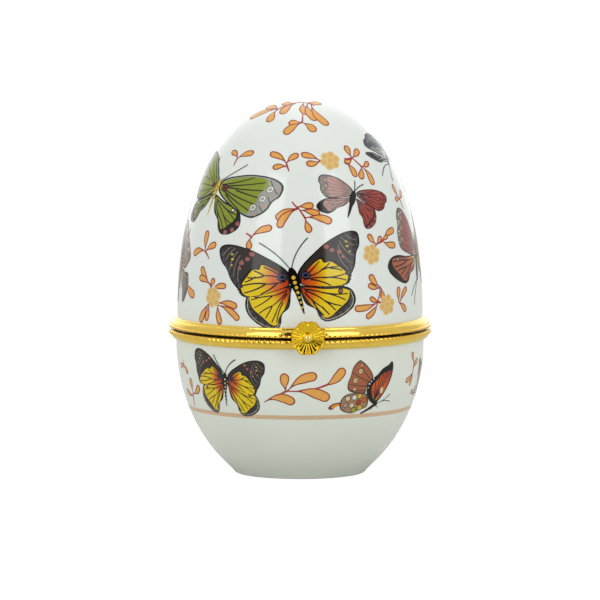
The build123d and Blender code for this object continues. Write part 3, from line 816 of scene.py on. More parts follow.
# wing patterns, drawn once for a right wing; pins are root, tip and rear corner
foreWing = {
    "pins": ((1, 0.5), (17, 12.3), (12.3, -1)),
    "edge": [(0.7, 1.2), (2, 4), (5, 7.2), (8.2, 10), (12, 12.2), (15, 13), (17, 12.3), (17.4, 9.5),
             (16.4, 7), (16, 4), (14.5, 1), (12.3, -1), (7.5, -1.5), (2, -1)],
    "field": [(1.8, -0.5), (3.4, 2.9), (6.3, 5.4), (7.3, 4.5), (9, 4.8), (11, 3.6), (13.2, 1.8),
              (13, -0.2), (11, -1.1), (6, -1.2)],
    "veins": [((2.2, 0.9), (6.2, 4.9), 0.06), ((2.6, 0.9), (7.0, 2.9), 0.12),
              ((7.0, 2.9), (8.8, 4.6), 0.1), ((7.0, 2.9), (10.9, 3.5), -0.12),
              ((2.4, 0.3), (7.2, 0.9), -0.08), ((7.2, 0.9), (12.9, 1.9), 0.1),
              ((7.2, 0.9), (12.9, 0.2), -0.1), ((4.2, 0.4), (9, -1.1), -0.1),
              ((9.2, 3.3), (11.9, 2.6), -0.1)],
    "spots": [(8.3, 8.9, 0.72), (9.8, 8.0, 0.66), (11.7, 7.5, 0.66), (12.7, 6.3, 0.5)],
    "specks": [(13.6, 10.2, 0.36), (13.9, 9.0, 0.42), (14.6, 7.6, 0.3)],
    "lines": [((12.2, 11.4), (16.0, 9.2), 0.14), ((11.8, 10.4), (15.6, 6.6), 0.2),
              ((11.4, 9.4), (15.0, 4.6), 0.2), ((13.4, 12.0), (16.4, 10.5), 0.1),
              ((11.2, 8.2), (14.2, 3.0), 0.2)],
    "scallops": [(16.3, 10.9), (16.3, 9.4), (15.9, 7.9), (15.5, 6.4), (15.2, 4.9), (14.7, 3.5),
                 (14.0, 2.1)],
    "eye": (2.9, 1.5, 1.05),
}
hindWing = {
    "pins": ((1.5, -1.5), (16.5, -4.4), (8, -10.6)),
    "edge": [(1.4, -1.2), (7.5, -1.6), (12.2, -1.2), (15.2, -2.1), (16.5, -4.4), (15.9, -6.7),
             (13.5, -8.8), (10.6, -10.2), (8, -10.6), (6.4, -9.4), (5.5, -7.4), (3, -6), (1.8, -3)],
    "field": [(2.2, -1.9), (8, -2.1), (12.8, -2.0), (14.2, -2.9), (13.7, -5), (11.2, -7.2), (9.1, -9),
              (7.4, -9.2), (6.4, -7.7), (3.9, -5.5)],
    "veins": [((2.6, -2.2), (7.4, -3.0), -0.06), ((7.4, -3.0), (14.0, -3.3), 0.08),
              ((7.4, -3.0), (13.4, -5.0), -0.08), ((3, -2.6), (8.0, -5.2), -0.08),
              ((8.0, -5.2), (12.2, -6.4), 0.08), ((8.0, -5.2), (10.6, -7.6), -0.06),
              ((2.8, -3), (7.2, -6.8), 0.1), ((7.2, -6.8), (9.0, -8.8), 0.0),
              ((4.6, -4.8), (7.5, -8.9), 0.1)],
    "spots": [(12.3, -2.6, 0.62)],
}
wholeWing = dict(
    foreWing,
    field=[(1.3, 0.9), (2.4, 3.6), (5.2, 6.5), (8.4, 9.4), (12.6, 11.5), (13.6, 9.4), (12.5, 6.9),
           (12.8, 4.2), (11.8, 1.8), (11.6, -0.4), (7.5, -1.0), (2.6, -0.5)],
    spots=[(14.4, 9.6, 0.85), (13.8, 6.1, 0.85), (12.6, 2.4, 0.85)],
    specks=[(15.7, 8.0, 0.6), (15.0, 4.6, 0.6), (15.9, 10.6, 0.5), (13.8, 1.0, 0.5)],
    lines=[((13.4, 12.0), (16.6, 9.6), 0.1), ((14.8, 7.6), (16.2, 6.2), 0.1),
           ((13.9, 3.9), (15.6, 2.9), 0.1)],
    veins=[((2.2, 1.6), (12.6, 10.6), 0.03), ((3.2, 2.0), (13, 8.2), 0.02),
           ((6.4, 3.4), (12.6, 5.6), 0.0), ((2.4, 1.0), (12.6, 3.4), 0.02),
           ((2.6, 0.6), (11.9, 0.9), 0.0), ((4, 0.2), (9.8, -0.9), 0.0), ((1.6, 1.6), (9.4, 9.9), 0.06)])
coatParts = ("rim", "tip", "margin", "near", "mid", "far", "vein", "spot", "speck", "line", "eye")
coats = {name: dict(zip(coatParts, names.split()), reach=reach) for name, names, reach in (
    ("tiger", "black coal coal red orange yellow soot rose gold stone night", 1.05),
    ("meadow", "black mist soot lime green green soot white blush soot wine", 1.0),
    ("russet", "soot wine wine stone rose brick soot brick brick soot soot", 1.0),
    ("faded", "soot stone soot mist blush blush stone blush blush stone stone", 1.0),
    ("emberPale", "brown stone brown rust rose rose brown blush cream cream brown", 1.05),
    ("ember", "soot stone soot yellow orange rust soot blush cream brown brown", 1.05),
    ("dusk", "brown tan brown tan tan stone brown cream cream brown wine", 1.1),
    ("storm", "soot slate slate cream white mist soot tan white mist soot", 0.85),
)}


def wing(pattern, coatName, root, tip, corner):
    coat = coats[coatName]
    (ax, ay), (bx, by), (cx, cy) = pattern["pins"]
    det = (bx - ax) * (cy - ay) - (cx - ax) * (by - ay)

    def fit(p):
        # carries a pattern point onto the three given pins
        u = ((p[0] - ax) * (cy - ay) - (cx - ax) * (p[1] - ay)) / det
        v = ((bx - ax) * (p[1] - ay) - (p[0] - ax) * (by - ay)) / det
        return (root[0] + u * (tip[0] - root[0]) + v * (corner[0] - root[0]),
                root[1] + u * (tip[1] - root[1]) + v * (corner[1] - root[1]))

    scale = hypot(tip[0] - root[0], tip[1] - root[1]) / hypot(bx - ax, by - ay)

    def grown(points, factor, about):
        return [(about[0] + (x - about[0]) * factor, about[1] + (y - about[1]) * factor) for x, y in points]

    def smooth(points):
        return [fit(p) for p in smoothLoop(points)]

    def dot(x, y, radius, ink, sides=14, squash=1.0):
        shapes.append(disc(*fit((x, y)), radius * scale, ink, sides, squash))

    fore = pattern is not hindWing
    middle = (sum(p[0] for p in pattern["edge"]) / len(pattern["edge"]),
              sum(p[1] for p in pattern["edge"]) / len(pattern["edge"]))
    inset = 0.935 if fore else 0.945
    shapes = [(smooth(pattern["edge"]), coat["rim"]),
              (smooth(grown(pattern["edge"], inset, middle)), coat["tip"] if fore else coat["margin"])]
    if not fore:
        shapes.append((smooth(grown(pattern["field"], 1.07, (2, -2.5))), coat["rim"]))
    elif coatName in ("tiger", "ember"):
        ragged = smoothLoop(grown(pattern["field"], 1.13, (2, 0)), 6)
        ragged = [(x + 0.28 * (-1) ** i, y + 0.22 * (-1) ** i) for i, (x, y) in enumerate(ragged)]
        shapes.append(([fit(p) for p in ragged], coat["rim"]))
    field = grown(pattern["field"], coat["reach"] if fore else min(1.04, coat["reach"]), pattern["pins"][0])
    depth = blendInk([(0, coat["near"]), (0.08, coat["near"]), (0.28, coat["mid"]), (0.48, coat["far"]),
                      (1, coat["far"])])
    span = hypot(tip[0] - root[0], tip[1] - root[1]) * (0.80 if fore else 0.95)
    shapes.append((smooth(field), lambda x, y: depth(hypot(x - root[0], y - root[1]) / span)))
    for start, end, bend in pattern["veins"]:
        a, b = fit(start), fit(grown([end], coat["reach"] if fore else 1.02, pattern["pins"][0])[0])
        shapes.append(stroke(a, b, bend if det * scale > 0 else -bend, 0.21 * scale, 0.12 * scale + 0.03,
                             coat["vein"]))
    for x, y in pattern.get("scallops", []) if coatName == "tiger" else []:
        dot(x, y, 0.62, "slate", 10)
        dot(x - 0.35, y - 0.1, 0.50, coat["tip"], 10)
    for start, end, bend in pattern.get("lines", []):
        shapes.append(stroke(fit(start), fit(end), -bend, 0.12 * scale, 0.12 * scale, coat["line"]))
    for x, y, r in pattern["spots"]:
        if coatName == "meadow" and fore:
            for radius, ink in ((r + 0.16, "soot"), (r, "white"), (r - 0.35, "mist")):
                dot(x, y, radius, ink)
        else:
            if not fore:
                dot(x, y, r + 0.1, coat["rim"])
            dot(x, y, r if fore else r - 0.12, coat["spot"], 14, 0.8)
    for x, y, r in pattern.get("specks", []):
        dot(x, y, r, coat["speck"], 10, 0.7)
    if "eye" in pattern and coatName in ("tiger", "meadow"):
        x, y, r = pattern["eye"]
        iris = coat["eye"] if coatName == "meadow" else "plum"
        for radius, ink, sides, squash in ((r + 0.3, "black", 14, 0.78), (r, iris, 14, 0.7),
                                           (r * 0.78, coat["eye"], 12, 0.66), (r * 0.45, "black", 12, 0.7)):
            dot(x, y, radius, ink, sides, squash)
    inner = smoothLoop(grown(pattern["edge"], 0.86, middle))  # a line inside the hem
    if not fore and coatName == "tiger":  # grey scallops and a pale line inside the dark hem
        for x, y in inner[13:37:3]:
            shapes.insert(2, disc(*fit((x, y)), 0.75 * scale, "slate", 10))
        hem = smooth(grown(pattern["edge"], 0.90, middle))[12:36]
        shapes.append((ribbon(hem, lambda t: 0.07 * scale), "cream"))
    if not fore and coatName in ("meadow", "russet"):
        for x, y in inner[18:29:5]:
            dot(x, y, 0.75, "rose", 12)
    return shapes


def bodyOf(head, tail, width, ink, dots, feelers):
    shapes = []
    for x, y, bend in feelers:
        shapes.append(stroke(head, (x, y), bend, 0.13, 0.17, "antenna", 10))

    def plump(t):
        return width * (0.55 + 0.45 * sin(pi * min(1, t * 1.7 + 0.12))) * (1 - 0.8 * t ** 3)

    shapes.append((ribbon(arcLine(head, tail, 0, 14), plump), ink))
    shapes.append(disc(head[0], head[1], width * 0.62, ink, 12))
    if dots:
        for i in range(7):
            t = 0.16 + 0.115 * i
            x, y = head[0] + (tail[0] - head[0]) * t, head[1] + (tail[1] - head[1]) * t
            shapes.append(disc(x, y, width * (0.40 - 0.028 * i), dots, 10))
    return shapes


def butterfly(wings, body):
    shapes = []
    for pattern, coatName, root, tip, corner in wings:
        shapes += wing(pattern, coatName, root, tip, corner)
    return shapes + bodyOf(*body)


def tigerButterfly():
    return butterfly([
        (hindWing, "tiger", (-1, -1.5), (-13.3, -6.8), (-4.6, -12.8)),
        (hindWing, "tiger", (1.3, -1.5), (16.5, -4.6), (8.2, -10.6)),
        (foreWing, "tiger", (-1, 0.5), (-21.6, 7.5), (-12, -4.3)),
        (foreWing, "tiger", (1, 0.5), (17.1, 12.1), (12.6, -1.2)),
    ], ((-0.8, 2.6), (2.6, -8.6), 1.35, "black", "gold", [(-9.5, 9.7, -0.12), (3.4, 11.2, 0.18)]))


def meadowButterfly():
    return butterfly([
        (hindWing, "meadow", (-0.8, -1), (-11.5, -6), (-8, -9)),
        (hindWing, "meadow", (0.2, -1.2), (11.3, -7.6), (5.3, -11.2)),
        (wholeWing, "meadow", (-0.6, 0.8), (-11.5, 9.5), (-9.5, -3)),
        (wholeWing, "meadow", (0.8, 1.2), (20.6, 1.8), (13, -6.6)),
    ], ((0.3, 2.7), (-1.2, -6.9), 0.72, "gold", "brown", [(-4.7, 9.5, 0.1), (7.9, 7.8, -0.05)]))


def russetButterfly():
    return butterfly([
        (hindWing, "faded", (-0.8, -0.3), (-10.5, -1.4), (-8.2, -4.3)),
        (hindWing, "russet", (0.5, -0.8), (6.1, -5.6), (2.0, -8.6)),
        (wholeWing, "faded", (-0.5, 0.9), (-8.6, 6.0), (-7.7, 0.0)),
        (wholeWing, "russet", (0.8, 0.5), (11.3, -0.6), (6.8, -4.2)),
    ], ((0, 1.0), (-3.0, -5.6), 0.95, "soot", None, [(1.0, 4.3, -0.1), (3.6, 3.2, 0.15)]))


def smallTiger():
    return butterfly([
        (hindWing, "tiger", (-0.6, -0.8), (-9.4, -4.2), (-4.6, -9.5)),
        (hindWing, "tiger", (0.8, -0.8), (9.4, -6.0), (3.8, -9.6)),
        (foreWing, "tiger", (-0.6, 0.3), (-11.1, 7.2), (-8.6, -1.6)),
        (foreWing, "tiger", (0.8, 0.3), (12.0, 4.6), (7.3, -3.5)),
    ], ((0.1, 1.6), (-0.8, -7.2), 0.7, "black", "cream", [(-3.6, 6.6, 0.06), (3.7, 5.7, 0.2)]))


def emberButterfly():
    return butterfly([
        (hindWing, "ember", (9, -3), (-6, -4.4), (1.5, -9.8)),
        (wholeWing, "emberPale", (9, -2), (2.2, 10), (0.6, -0.6)),
        (hindWing, "ember", (11, -3), (24, -6), (16, -11)),
        (wholeWing, "emberPale", (11, -2), (22, 9), (20, -2)),
    ], ((9.5, -9.0), (10.4, 3.0), 0.9, "soot", None, [(4.3, -13.3, -0.15), (6.1, -15.8, -0.15)]))


def duskButterfly():
    return butterfly([
        (wholeWing, "dusk", (0, -1), (-2.5, 11), (5, 1.5)),
        (hindWing, "dusk", (0, -2), (5, -5.5), (1, -10.5)),
        (wholeWing, "dusk", (-2, -1), (-13, 9), (-9, -3)),
        (hindWing, "dusk", (-2, -2), (-10, -7), (-5, -11)),
    ], ((-1, 3), (-1, -7), 0.8, "brown", "cream", [(-4, 9, 0.1), (1.5, 9, -0.1)])) + leaf((4, -4.5),
                                                                                          (9.2, -8), -0.3,
                                                                                          1.2)


def stormButterfly():
    return butterfly([
        (foreWing, "storm", (5, -2.6), (1.0, 5.6), (-4.2, 1.2)),
        (hindWing, "storm", (4.5, -3.2), (-6.2, -0.2), (-2.2, -3.4)),
        (foreWing, "storm", (6, -2.6), (16, 5), (15, -4)),
    ], ((3.2, -4.4), (7.5, 2.5), 0.6, "soot", None, [(-3.9, -7.2, -0.3), (0.5, -9, -0.1)]))


def restingButterfly():
    # seen from the side, wings closed upwards, with a short tail on the hind wing
    far = [(0.3, 5), (-1.5, 7.7), (-3.2, 9.1), (-4.1, 9.4), (-5.7, 7.9), (-6.4, 5.3), (-6.9, 3.8),
           (-6.4, 1.6),
           (-2, 0.6), (-1.3, 3)]
    front = [(2.2, -2.1), (5, 1.2), (6.6, 4.6), (7, 7.3), (6.4, 8.5), (5.2, 7.7), (3.3, 6.9), (1.5, 5.3),
             (-0.8, 4), (-1.3, 2.6), (-1.1, 0.6), (0.3, -1.6)]
    hind = [(-1.1, 0.5), (-5, 1), (-7.4, 0.4), (-8.3, -1.3), (-7.8, -3.4), (-5, -4.5), (-2.7, -3.7),
            (-0.4, -2.7)]
    tail = [(-7.8, -1.4), (-10, -1.6), (-11.1, -2.5), (-10.9, -3.2), (-10.0, -3.2), (-9.2, -2.4),
            (-7.8, -2.2)]

    def shrink(points, k):
        mx, my = sum(p[0] for p in points) / len(points), sum(p[1] for p in points) / len(points)
        return [(mx + (x - mx) * k, my + (y - my) * k) for x, y in points]

    shapes = [(smoothLoop(tail), "wine"), (smoothLoop(shrink(tail, 0.6)), "amber")]
    for outline, fill in ((far, "rust"), (hind, "tan")):
        shapes += [(smoothLoop(outline), "brown"), (smoothLoop(shrink(outline, 0.90)), fill)]
    for x0, y0, x1, y1 in ((-0.6, 3.6, -6, 6.5), (-1, 2.6, -6.4, 3.4), (-1.6, 1.6, -6, 1.8),
                           (-0.8, 4.6, -4, 8.6)):
        shapes.append(stroke((x0, y0), (x1, y1), 0.06, 0.17, 0.12, "brown"))
    for x, y, r in ((-3.6, 6.6, 0.75), (-4.9, 4.3, 0.8), (-4.9, 2.0, 0.5), (-3.4, 8.1, 0.4)):
        shapes += [disc(x, y, r, "brown"), disc(x, y, r * 0.74, "cream"),
                   disc(x + 0.1, y, r * 0.35, "rose", 8)]
    for x, y, ink in ((-6.4, -0.4, "cream"), (-4.6, -0.2, "white"), (-3.2, 0.1, "gold"),
                      (-6.7, -2.2, "blush"),
                      (-5.0, -2.3, "cream"), (-3.2, -1.6, "red"), (-4.2, -3.6, "lime"),
                      (-2.6, -3.0, "gold"),
                      (-1.6, -1.0, "orange")):
        shapes += [disc(x, y, 0.82, "brown", 10), disc(x, y, 0.62, ink, 10)]
    glow = blendInk([(0, "gold"), (0.3, "red"), (0.55, "orange"), (1, "red")])
    shapes.append((smoothLoop(front), "black"))
    shapes.append((smoothLoop([(1.9, -1.4), (4.4, 1.0), (6.0, 4.2), (6.3, 6.2), (4.8, 5.9), (3.4, 5.6),
                               (1.8, 4.2),
                               (0.4, 2.8), (0.3, 0.8)]), lambda x, y: glow(hypot(x - 1.4, y + 2) / 8.5)))
    for x, y in ((6.1, 6.3), (5.0, 6.2), (3.8, 5.8), (2.4, 4.7), (1.2, 3.6)):
        shapes.append(stroke((1.5, -1.6), (x, y), 0.03, 0.13, 0.13, "soot"))
    shapes.append(disc(3.5, 1.2, 0.55, "cream", 12, 1.6))
    for x, y, r in ((-0.7, 3.2, 0.24), (-0.2, 3.8, 0.2), (-0.9, 2.2, 0.2), (0.5, 4.4, 0.2)):
        shapes.append(disc(x, y, r, "white", 8))
    shapes.append(stroke((2.4, -2.2), (-2.0, -4.7), 0.05, 0.5, 0.22, "soot"))
    shapes.append(disc(2.2, -2.3, 0.62, "black"))
    for x, y, bend in ((6.9, 0.0, -0.12), (7.3, -2.1, 0.2)):
        shapes.append(stroke((2.8, -2.2), (x, y), bend, 0.07, 0.10, "soot"))
    for x, y in ((3.2, -3.4), (1.0, -3.9)):
        shapes.append(stroke((1.6, -2.6), (x, y), 0.1, 0.09, 0.06, "soot", 4))
    return shapes


# laying the motifs on the porcelain

def walkUp(points):
    # arc length, radius, height and outward slope along a wall, from its lowest point up
    table, run = [], 0.0
    for i, (r, z) in enumerate(points):
        if i:
            run += hypot(r - points[i - 1][0], z - points[i - 1][1])
        (ra, za), (rb, zb) = points[max(0, i - 1)], points[min(len(points) - 1, i + 1)]
        length = hypot(rb - ra, zb - za)
        table.append((run, r, z, (zb - za) / length, -(rb - ra) / length))
    return table


lidWall = walkUp(domeLine(lidShape["radius"], lidShape["seam"], lidShape["top"], lidShape["power"],
                          lidShape["bottom"], 400))
bowlWall = walkUp(list(reversed(bowlOutside()))[:-1] + [(bowlShape["radius"], z) for z in (36.0, 36.5, 37.0,
                                                                                           37.8)])


def onWall(wall, run):
    run = min(wall[-1][0], max(0, run))
    i = min(len(wall) - 1, max(1, bisect_left(wall, (run,))))
    a, b = wall[i - 1], wall[i]
    k = (run - a[0]) / max(1e-9, b[0] - a[0])
    return [p + (q - p) * k for p, q in zip(a, b)]


def runAt(wall, z):
    heights = [row[2] for row in wall]
    i = min(len(wall) - 1, max(1, bisect_left(heights, z)))
    a, b = wall[i - 1], wall[i]
    return a[0] + (b[0] - a[0]) * (z - a[2]) / max(1e-9, b[2] - a[2])


sliver = 1e-5  # square millimetres: thinner cuttings than this are left out
meshStep = 1.15  # points inside a motif, mm apart, so that it bends with the wall


def layer():
    return {"points": [], "normals": [], "faces": [], "colours": []}


def layOn(target, wall, shapes, azimuth, height, lift, turned=0, size=1.0, flip=False, crown=False):
    # cuts the motif into one layer where the last shape drawn wins, then bends it onto the wall
    outlines, coords = [], []
    for points, _ in shapes:
        area = sum(a[0] * b[1] - b[0] * a[1] for a, b in zip(points, points[1:] + points[:1]))
        outlines.append(list(range(len(coords), len(coords) + len(points))))
        coords += [Vector(p) for p in (points if area > 0 else points[::-1])]
    xs, ys = [c.x for c in coords], [c.y for c in coords]
    gx = [min(xs) + meshStep * (i + 0.37) for i in range(int((max(xs) - min(xs)) / meshStep) + 1)]
    gy = [min(ys) + meshStep * (i + 0.41) for i in range(int((max(ys) - min(ys)) / meshStep) + 1)]
    coords += [Vector((x + 0.13 * ((j % 3) - 1), y)) for x in gx for j, y in enumerate(gy)]
    made, _, triangles, _, _, owners = delaunay_2d_cdt(coords, [], outlines, 1, 1e-5, True)
    start = runAt(wall, height) if not crown else 0
    c, s = cos(radians(turned)), sin(radians(turned))
    index = {}

    def spot(k):
        if k not in index:
            x, y = made[k]
            if flip:
                x = -x
            x, y = (x * c - y * s) * size, (x * s + y * c) * size
            if crown:
                run, a = wall[-1][0] - hypot(x, y), atan2(x, -y) + radians(azimuth)
                _, r, z, nr, nz = onWall(wall, run)
            else:
                _, r, z, nr, nz = onWall(wall, start + y)
                a = radians(azimuth) + x / max(2.0, r)
            r, z = r + nr * lift, z + nz * lift
            index[k] = len(target["points"])
            target["points"].append((r * sin(a) * mm, -r * cos(a) * mm, z * mm))
            target["normals"].append((nr * sin(a), -nr * cos(a), nz))
        return index[k]

    for tri, owner in zip(triangles, owners):
        p, q, r = (made[k] for k in tri)
        if not owner or abs((q[0] - p[0]) * (r[1] - p[1]) - (r[0] - p[0]) * (q[1] - p[1])) < sliver:
            continue
        ink = shapes[max(owner)][1]
        corners = list(tri) if not flip else list(tri)[::-1]
        target["faces"].append([spot(k) for k in corners])
        for k in corners:
            colour = inkColours[ink] if isinstance(ink, str) else ink(*made[k])
            target["colours"] += [*colour, 1.0]


def printPiece(name, sheet, body):
    mesh = bpy.data.meshes.new(name)
    mesh.from_pydata(sheet["points"], [], sheet["faces"])
    tint = mesh.color_attributes.new("ink", "FLOAT_COLOR", "CORNER")
    tint.data.foreach_set("color", sheet["colours"])
    mesh.shade_smooth()
    mesh.normals_split_custom_set_from_vertices(sheet["normals"])
    mesh.materials.append(transferInk)
    piece = newPiece(name, mesh)
    sendOut(piece, body, [])


def laySprigs(target, wall, groups):
    for azimuth, height, stems, leaves, flowers in groups:
        for x, y in flowers:
            layOn(target, wall, blossom(x, y), azimuth, height, lifts["blossom"])
        layOn(target, wall, sprig(stems, leaves), azimuth, height, lifts["sprig"])


def layMotifs(target, wall, motifs, lift):
    for drawing, azimuth, height, turned, size, flip in motifs:
        layOn(target, wall, drawing(), azimuth, height, lift, turned, size, flip)


# heights above the glaze, mm; where prints cross, the higher one shows
lifts = {"sprig": 0.030, "blossom": 0.036, "lidButterfly": 0.042, "bowlButterfly": 0.052}
lidSprigs = [  # azimuth, height, stems, leaves, blossoms
    (-48.2, 84.6, [(-0.3, -2, 0, 0, 0.1)], [(0, 0, -3.4, 1.8, -0.3, 0.75), (0, 0, 4.7, 1.8, 0.25)], []),
    (-11.9, 83.8, [(0.9, -2.2, 0, 0, 0)], [(0.1, 0, -4.7, 2.8, -0.25), (0, 0, 3.1, 2.7, 0.2),
     (0.4, -1, -3.5, -1.5, -0.25, 0.75)], []),
    (16.6, 84.5, [(-2, 0, -3.2, 0.1, 0)], [(-2.8, 0, -7.5, 1.8, -0.2), (-2.6, 0, -6.6, -0.7, 0.2)],
     [(0, 0)]),
    (33.0, 85.0, [(-2.6, -0.2, 0, 0, -0.1), (0, 0, 2.3, -2.8, 0)], [(0, 0, -0.3, 3.8, 0.15),
     (0, 0, 3.0, 2.6, -0.2), (0, -0.2, -2.9, -1.2, 0.2, 0.7), (-2.4, -1.2, -0.7, -5.6, 0.2),
     (2.3, -2.8, 5.2, -1.4, -0.2, 0.75), (2.2, -2.6, 0.7, -6.2, 0.1, 0.9), (2.4, -2.8, 4.6, -8.1, 0.2)],
     []),
    (65.0, 73.6, [(0.9, -2.8, 0, 0, 0)], [(0, 0, -1.5, 4.2, 0.15, 0.7), (0, -0.3, -2.7, -0.3, -0.3, 0.7),
     (0, 0, 3.2, 2.2, -0.2, 0.7)], []),
    (-3.8, 72.4, [(-1.8, 1.9, 0, 0, -0.1), (0, 0, 1.8, -2.7, 0)], [(-0.1, 0.1, -5.9, -3.0, -0.2, 0.95),
     (0, 0, -5.2, -5.2, -0.3, 0.95), (-0.4, 0.5, 3.9, 0.8, 0.05), (0.4, -0.4, 5.5, -1.6, 0.1),
     (1.7, -2.4, 8.7, -3.8, 0.2, 0.95), (1.7, -2.6, 3.1, -6.3, -0.1)], []),
    (-27.3, 64.7, [(-1.9, 1.2, 0, 0, 0.1)], [(-0.4, 0.2, 5.3, 2.8, 0.2, 0.9),
     (-0.4, 0.1, -0.4, -3.0, -0.25)], []),
    (-56.0, 60.5, [(2.1, -1.9, 0, 0, -0.1)], [(0.2, 0, 0.1, 5.5, 0.12), (0.3, -0.2, 4.3, 2.0, 0.2),
     (0.2, 0, -5.4, -1.4, -0.25)], []),
    (-47.7, 48.8, [(-0.6, 2, -1.6, 3.6, 0)], [(-1.4, 3.2, -5.2, 7.7, 0.15), (-1.3, 3.0, -6.1, 4.6, -0.25),
     (-0.9, 2.2, 0.2, 4.9, 0.15, 0.7), (-0.6, 1.9, 4.4, 3.0, 0.2, 0.75), (-1.6, -1.8, -5.0, -7.0, -0.1),
     (-1.6, -1.8, -2.7, -6.4, 0.1, 0.7), (1.6, -1.6, 8.0, -2.3, 0.2), (1.8, -2.0, 8.6, -5.6, 0.2),
     (1.8, -1.8, 2.8, -7.0, -0.15)], [(0, 0)]),
    (35.0, 59.9, [(0.4, 1.8, 1.0, 2.9, 0), (1.0, 2.9, 3.8, 3.8, -0.1)],
     [(1.0, 2.8, -1.2, 5.7, 0.15, 0.75), (1.0, 2.8, 2.8, 5.0, -0.2, 0.65), (3.6, 3.8, 8.6, 6.2, 0.2),
     (3.4, 3.6, 8.4, 2.3, -0.2), (3.0, 3.8, 5.6, 5.0, -0.1, 0.6)], [(-0.8, 0.3)]),
    (41.4, 46.8, [(-1.8, 0.6, -3.5, 0.9, 0), (-3.5, 0.9, -2.3, 4.9, -0.15)],
     [(-3.3, 0.9, -10.6, -0.4, 0.15), (-3.3, 0.8, -7.2, -3.0, 0.2, 0.75),
     (-2.6, 1.0, -5.8, 2.3, 0.2, 0.65), (-2.3, 4.8, -5.4, 8.3, 0.2), (-2.3, 4.6, -6.2, 5.7, 0.2, 0.7),
     (-1.9, 4.4, -1.6, 1.4, 0.1, 0.7), (4.9, 0.1, 5.0, 4.4, 0.15, 0.7), (5.1, 0, 8.8, 3.9, 0.15, 0.7),
     (4.6, 0.3, 8.0, -2.4, 0.15, 0.75)], [(0, 0)]),
    (99, 62, [(1.5, -2, 0, 0, 0.1)], [(0, 0, -4.4, 2.4, -0.2), (0, 0, 3.6, 3.0, 0.2),
     (0.4, -1, -3.6, -2, -0.2)], []),
    (100, 45, [], [(1.6, 1.2, 6.2, 3.4, 0.2), (1.6, -1.2, 6, -3.4, -0.2), (-1.8, -0.8, -6, -3, 0.2),
     (-1.8, 1, -5.4, 3.6, -0.2)], [(0, 0)]),
    (205, 47, [(-2.6, 0, -4.4, 1.2, 0)], [(-4, 1, -8, 4, 0.2), (-4, 1, -9, 0, -0.2),
     (2, 0.5, 6.5, 2.6, 0.2), (2, -1, 6, -3.6, -0.2)], [(0, 0)]),
    (148, 84, [(0.9, -2.2, 0, 0, 0)], [(0.1, 0, -4.7, 2.8, -0.25), (0, 0, 3.4, 2.9, 0.2),
     (0.4, -1, -3.5, -1.5, -0.2)], []),
    (176, 79, [], [(-1.6, 0.6, -6, 2.4, -0.2), (-1.6, -0.6, -5.6, -2, 0.2), (1.6, 0.6, 6, 2.4, 0.2)],
     [(0, 0)]),
    (232, 83, [(-0.3, -2, 0, 0, 0.1)], [(0, 0, -3.4, 2.2, -0.3), (0, 0, 4.4, 2, 0.25)], []),
    (140, 66, [(-2, -1.4, 0, 0, 0)], [(0, 0, 4.6, 2.6, 0.2), (0, 0, 1.4, 4.6, -0.2),
     (-0.6, -0.4, 4, -1.6, 0.2)], []),
    (252, 73, [(2, -1.4, 0, 0, 0)], [(0, 0, -4.6, 2.6, -0.2), (0, 0, -1.4, 4.6, 0.2)], []),
    (258, 48, [(1, -2, 0, 0, 0)], [(0, 0, -3.6, 3.6, -0.2), (0, 0, 2.6, 4.2, 0.2),
     (0.4, -0.8, -4.4, -1, -0.2)], []),
]
crownStems = [(-0.1, -7.1, -7, -9.6, -0.12), (-0.1, -7.1, 3.4, -8.8, 0.1), (0, -13.6, -0.3, -16.9, 0)]
crownLeaves = [
    (-6.5, -9.4, -14.8, -6.6, -0.12, 1.15), (-6.6, -9.2, -9.6, -5.2, -0.15, 1.15),
    (-6.8, -9.5, -9.5, -14.0, -0.2, 1.15), (-1.5, -7.8, -5.6, -12.4, -0.25, 1.15),
    (-1.6, -7.4, -5.2, -6.4, 0.2, 1.15), (0.6, -7.6, 1.4, -13.6, -0.25, 1.15),
    (1.6, -8.0, 4.0, -15.6, -0.3, 1.15), (2.6, -8.4, 7.4, -16.4, -0.3, 1.15),
    (-0.3, -16.6, -4.2, -16.2, 0.2, 1.15), (-0.3, -16.9, -5.8, -20.3, -0.12, 1.15),
    (-0.2, -16.9, 3.4, -20.0, 0.15, 1.15), (1.2, -7.4, 5.2, -6.0, -0.2, 1.15),
]
lidMotifs = [  # drawing, azimuth, height, turned, size, mirrored
    (tigerButterfly, -5.8, 53.9, 0, 1, False), (meadowButterfly, -56.7, 76.2, 0, 1, False),
    (russetButterfly, 27.8, 75.2, 0, 1, False), (emberButterfly, 54.1, 61.5, 0, 1, False),
    (stormButterfly, 63.1, 86.2, 0, 1, False), (duskButterfly, -78, 56.7, 0, 1, False),
    (tigerButterfly, 172, 57, 4, 0.95, True), (meadowButterfly, 122, 77, 6, 0.8, True),
    (russetButterfly, 216, 78, -8, 1.05, False), (emberButterfly, 223, 58, 8, 0.72, False),
]
lidPrint = layer()
laySprigs(lidPrint, lidWall, lidSprigs)
for azimuth in (0, 172):
    layOn(lidPrint, lidWall, sprig(crownStems, crownLeaves), azimuth, 0, lifts["sprig"], crown=True)
layMotifs(lidPrint, lidWall, lidMotifs, lifts["lidButterfly"])
printPiece("lid_transfers", lidPrint, "lid")

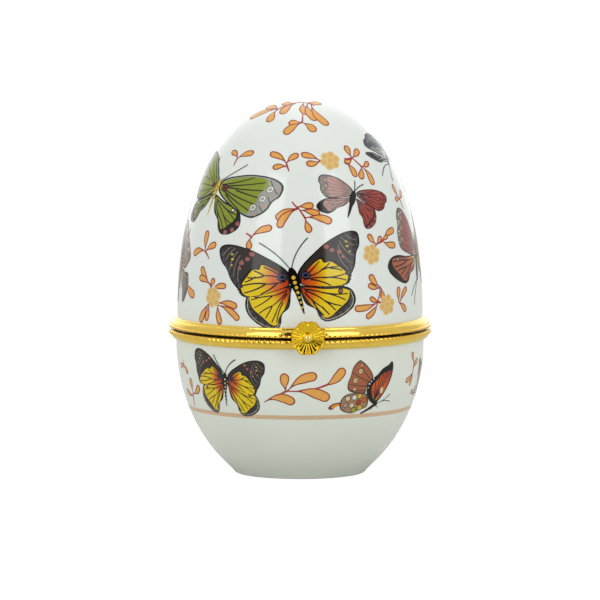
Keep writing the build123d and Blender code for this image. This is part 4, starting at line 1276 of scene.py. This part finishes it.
bowlSprigs = [
    (-9.0, 25.0, [(0, 0, 10.2, 1.6, -0.12)], [(-6.3, -3.2, 1.7, -3.5, 0.38, 1.15),
     (-0.4, -0.2, -0.6, 4.8, 0.12, 1.1), (0, 0, 7.8, 4.0, 0.25, 1.15), (9.2, 1.2, 15.0, 6.0, -0.2, 1.15),
     (1.4, -0.1, 10.9, -2.4, 0.18, 1.3), (-2.6, -1.2, 0.4, 0.2, 0.05, 0.25)], []),
    (59.5, 27.5, [(2.6, 3.5, 2.4, 0.5, 0)], [(2.4, 0.6, -1.2, -1.6, 0.3, 0.7),
     (2.4, 0.6, 1.6, -3.2, 0.1, 0.6), (2.5, 1.4, 5.4, 3.6, 0.2, 0.7), (2.4, 3, 1.0, 6.0, 0.1, 0.6)], []),
    (70, 21.5, [], [(1, 0, -1.8, 1.0, -0.2, 0.6), (1, -0.4, 2.6, 2.2, 0.2, 0.6)], []),
    (-71.5, 18.6, [(0.4, 0.3, 2.0, 4.2, 0.05)], [(2.0, 4.2, 2.4, 8.2, 0.1, 0.7),
     (2.0, 4.0, 6.2, 6.6, -0.3, 0.75), (1.6, 3.4, -2.6, 4.6, 0.2, 0.7)], []),
    (-74, 29, [(0, 2, 0, 0, 0)], [(0, 0.6, 2.4, -1.6, 0.2, 0.7), (0, 1, -3, 0.4, 0.2, 0.7)], []),
    (112, 26, [(-4, -1.5, 0, 0, 0.1)], [(0, 0, 4.4, 3.8, 0.2), (0, 0, 5.8, -0.8, -0.15),
     (-2, -0.8, -1.4, 3.6, 0.15)], []),
    (184, 25.2, [(0, 0, 9.2, 1.4, -0.12)], [(-6, -2.6, 1.6, -3.2, 0.35, 0.95),
     (-0.4, -0.2, -0.6, 4.6, 0.12, 0.9), (0, 0, 7.4, 4.0, 0.25, 0.95), (9, 1.2, 14.4, 5.6, -0.2, 0.95),
     (1.4, -0.1, 10.4, -2.4, 0.18, 1.0)], []),
    (255, 26, [(4, -1.5, 0, 0, -0.1)], [(0, 0, -4.4, 3.8, -0.2), (0, 0, -5.8, -0.8, 0.15)], []),
]
bowlMotifs = [
    (smallTiger, -40.6, 27.2, 0, 1, False), (restingButterfly, 32.6, 23.1, 0, 1.04, False),
    (smallTiger, 150, 27.2, 0, 1, True), (restingButterfly, 226, 23.4, 0, 1, False),
    (restingButterfly, 84, 23.4, 0, 0.95, True),
]
bowlPrint = layer()
laySprigs(bowlPrint, bowlWall, bowlSprigs)
layMotifs(bowlPrint, bowlWall, bowlMotifs, lifts["bowlButterfly"])
printPiece("bowl_transfers", bowlPrint, "base")
print("transfers laid")
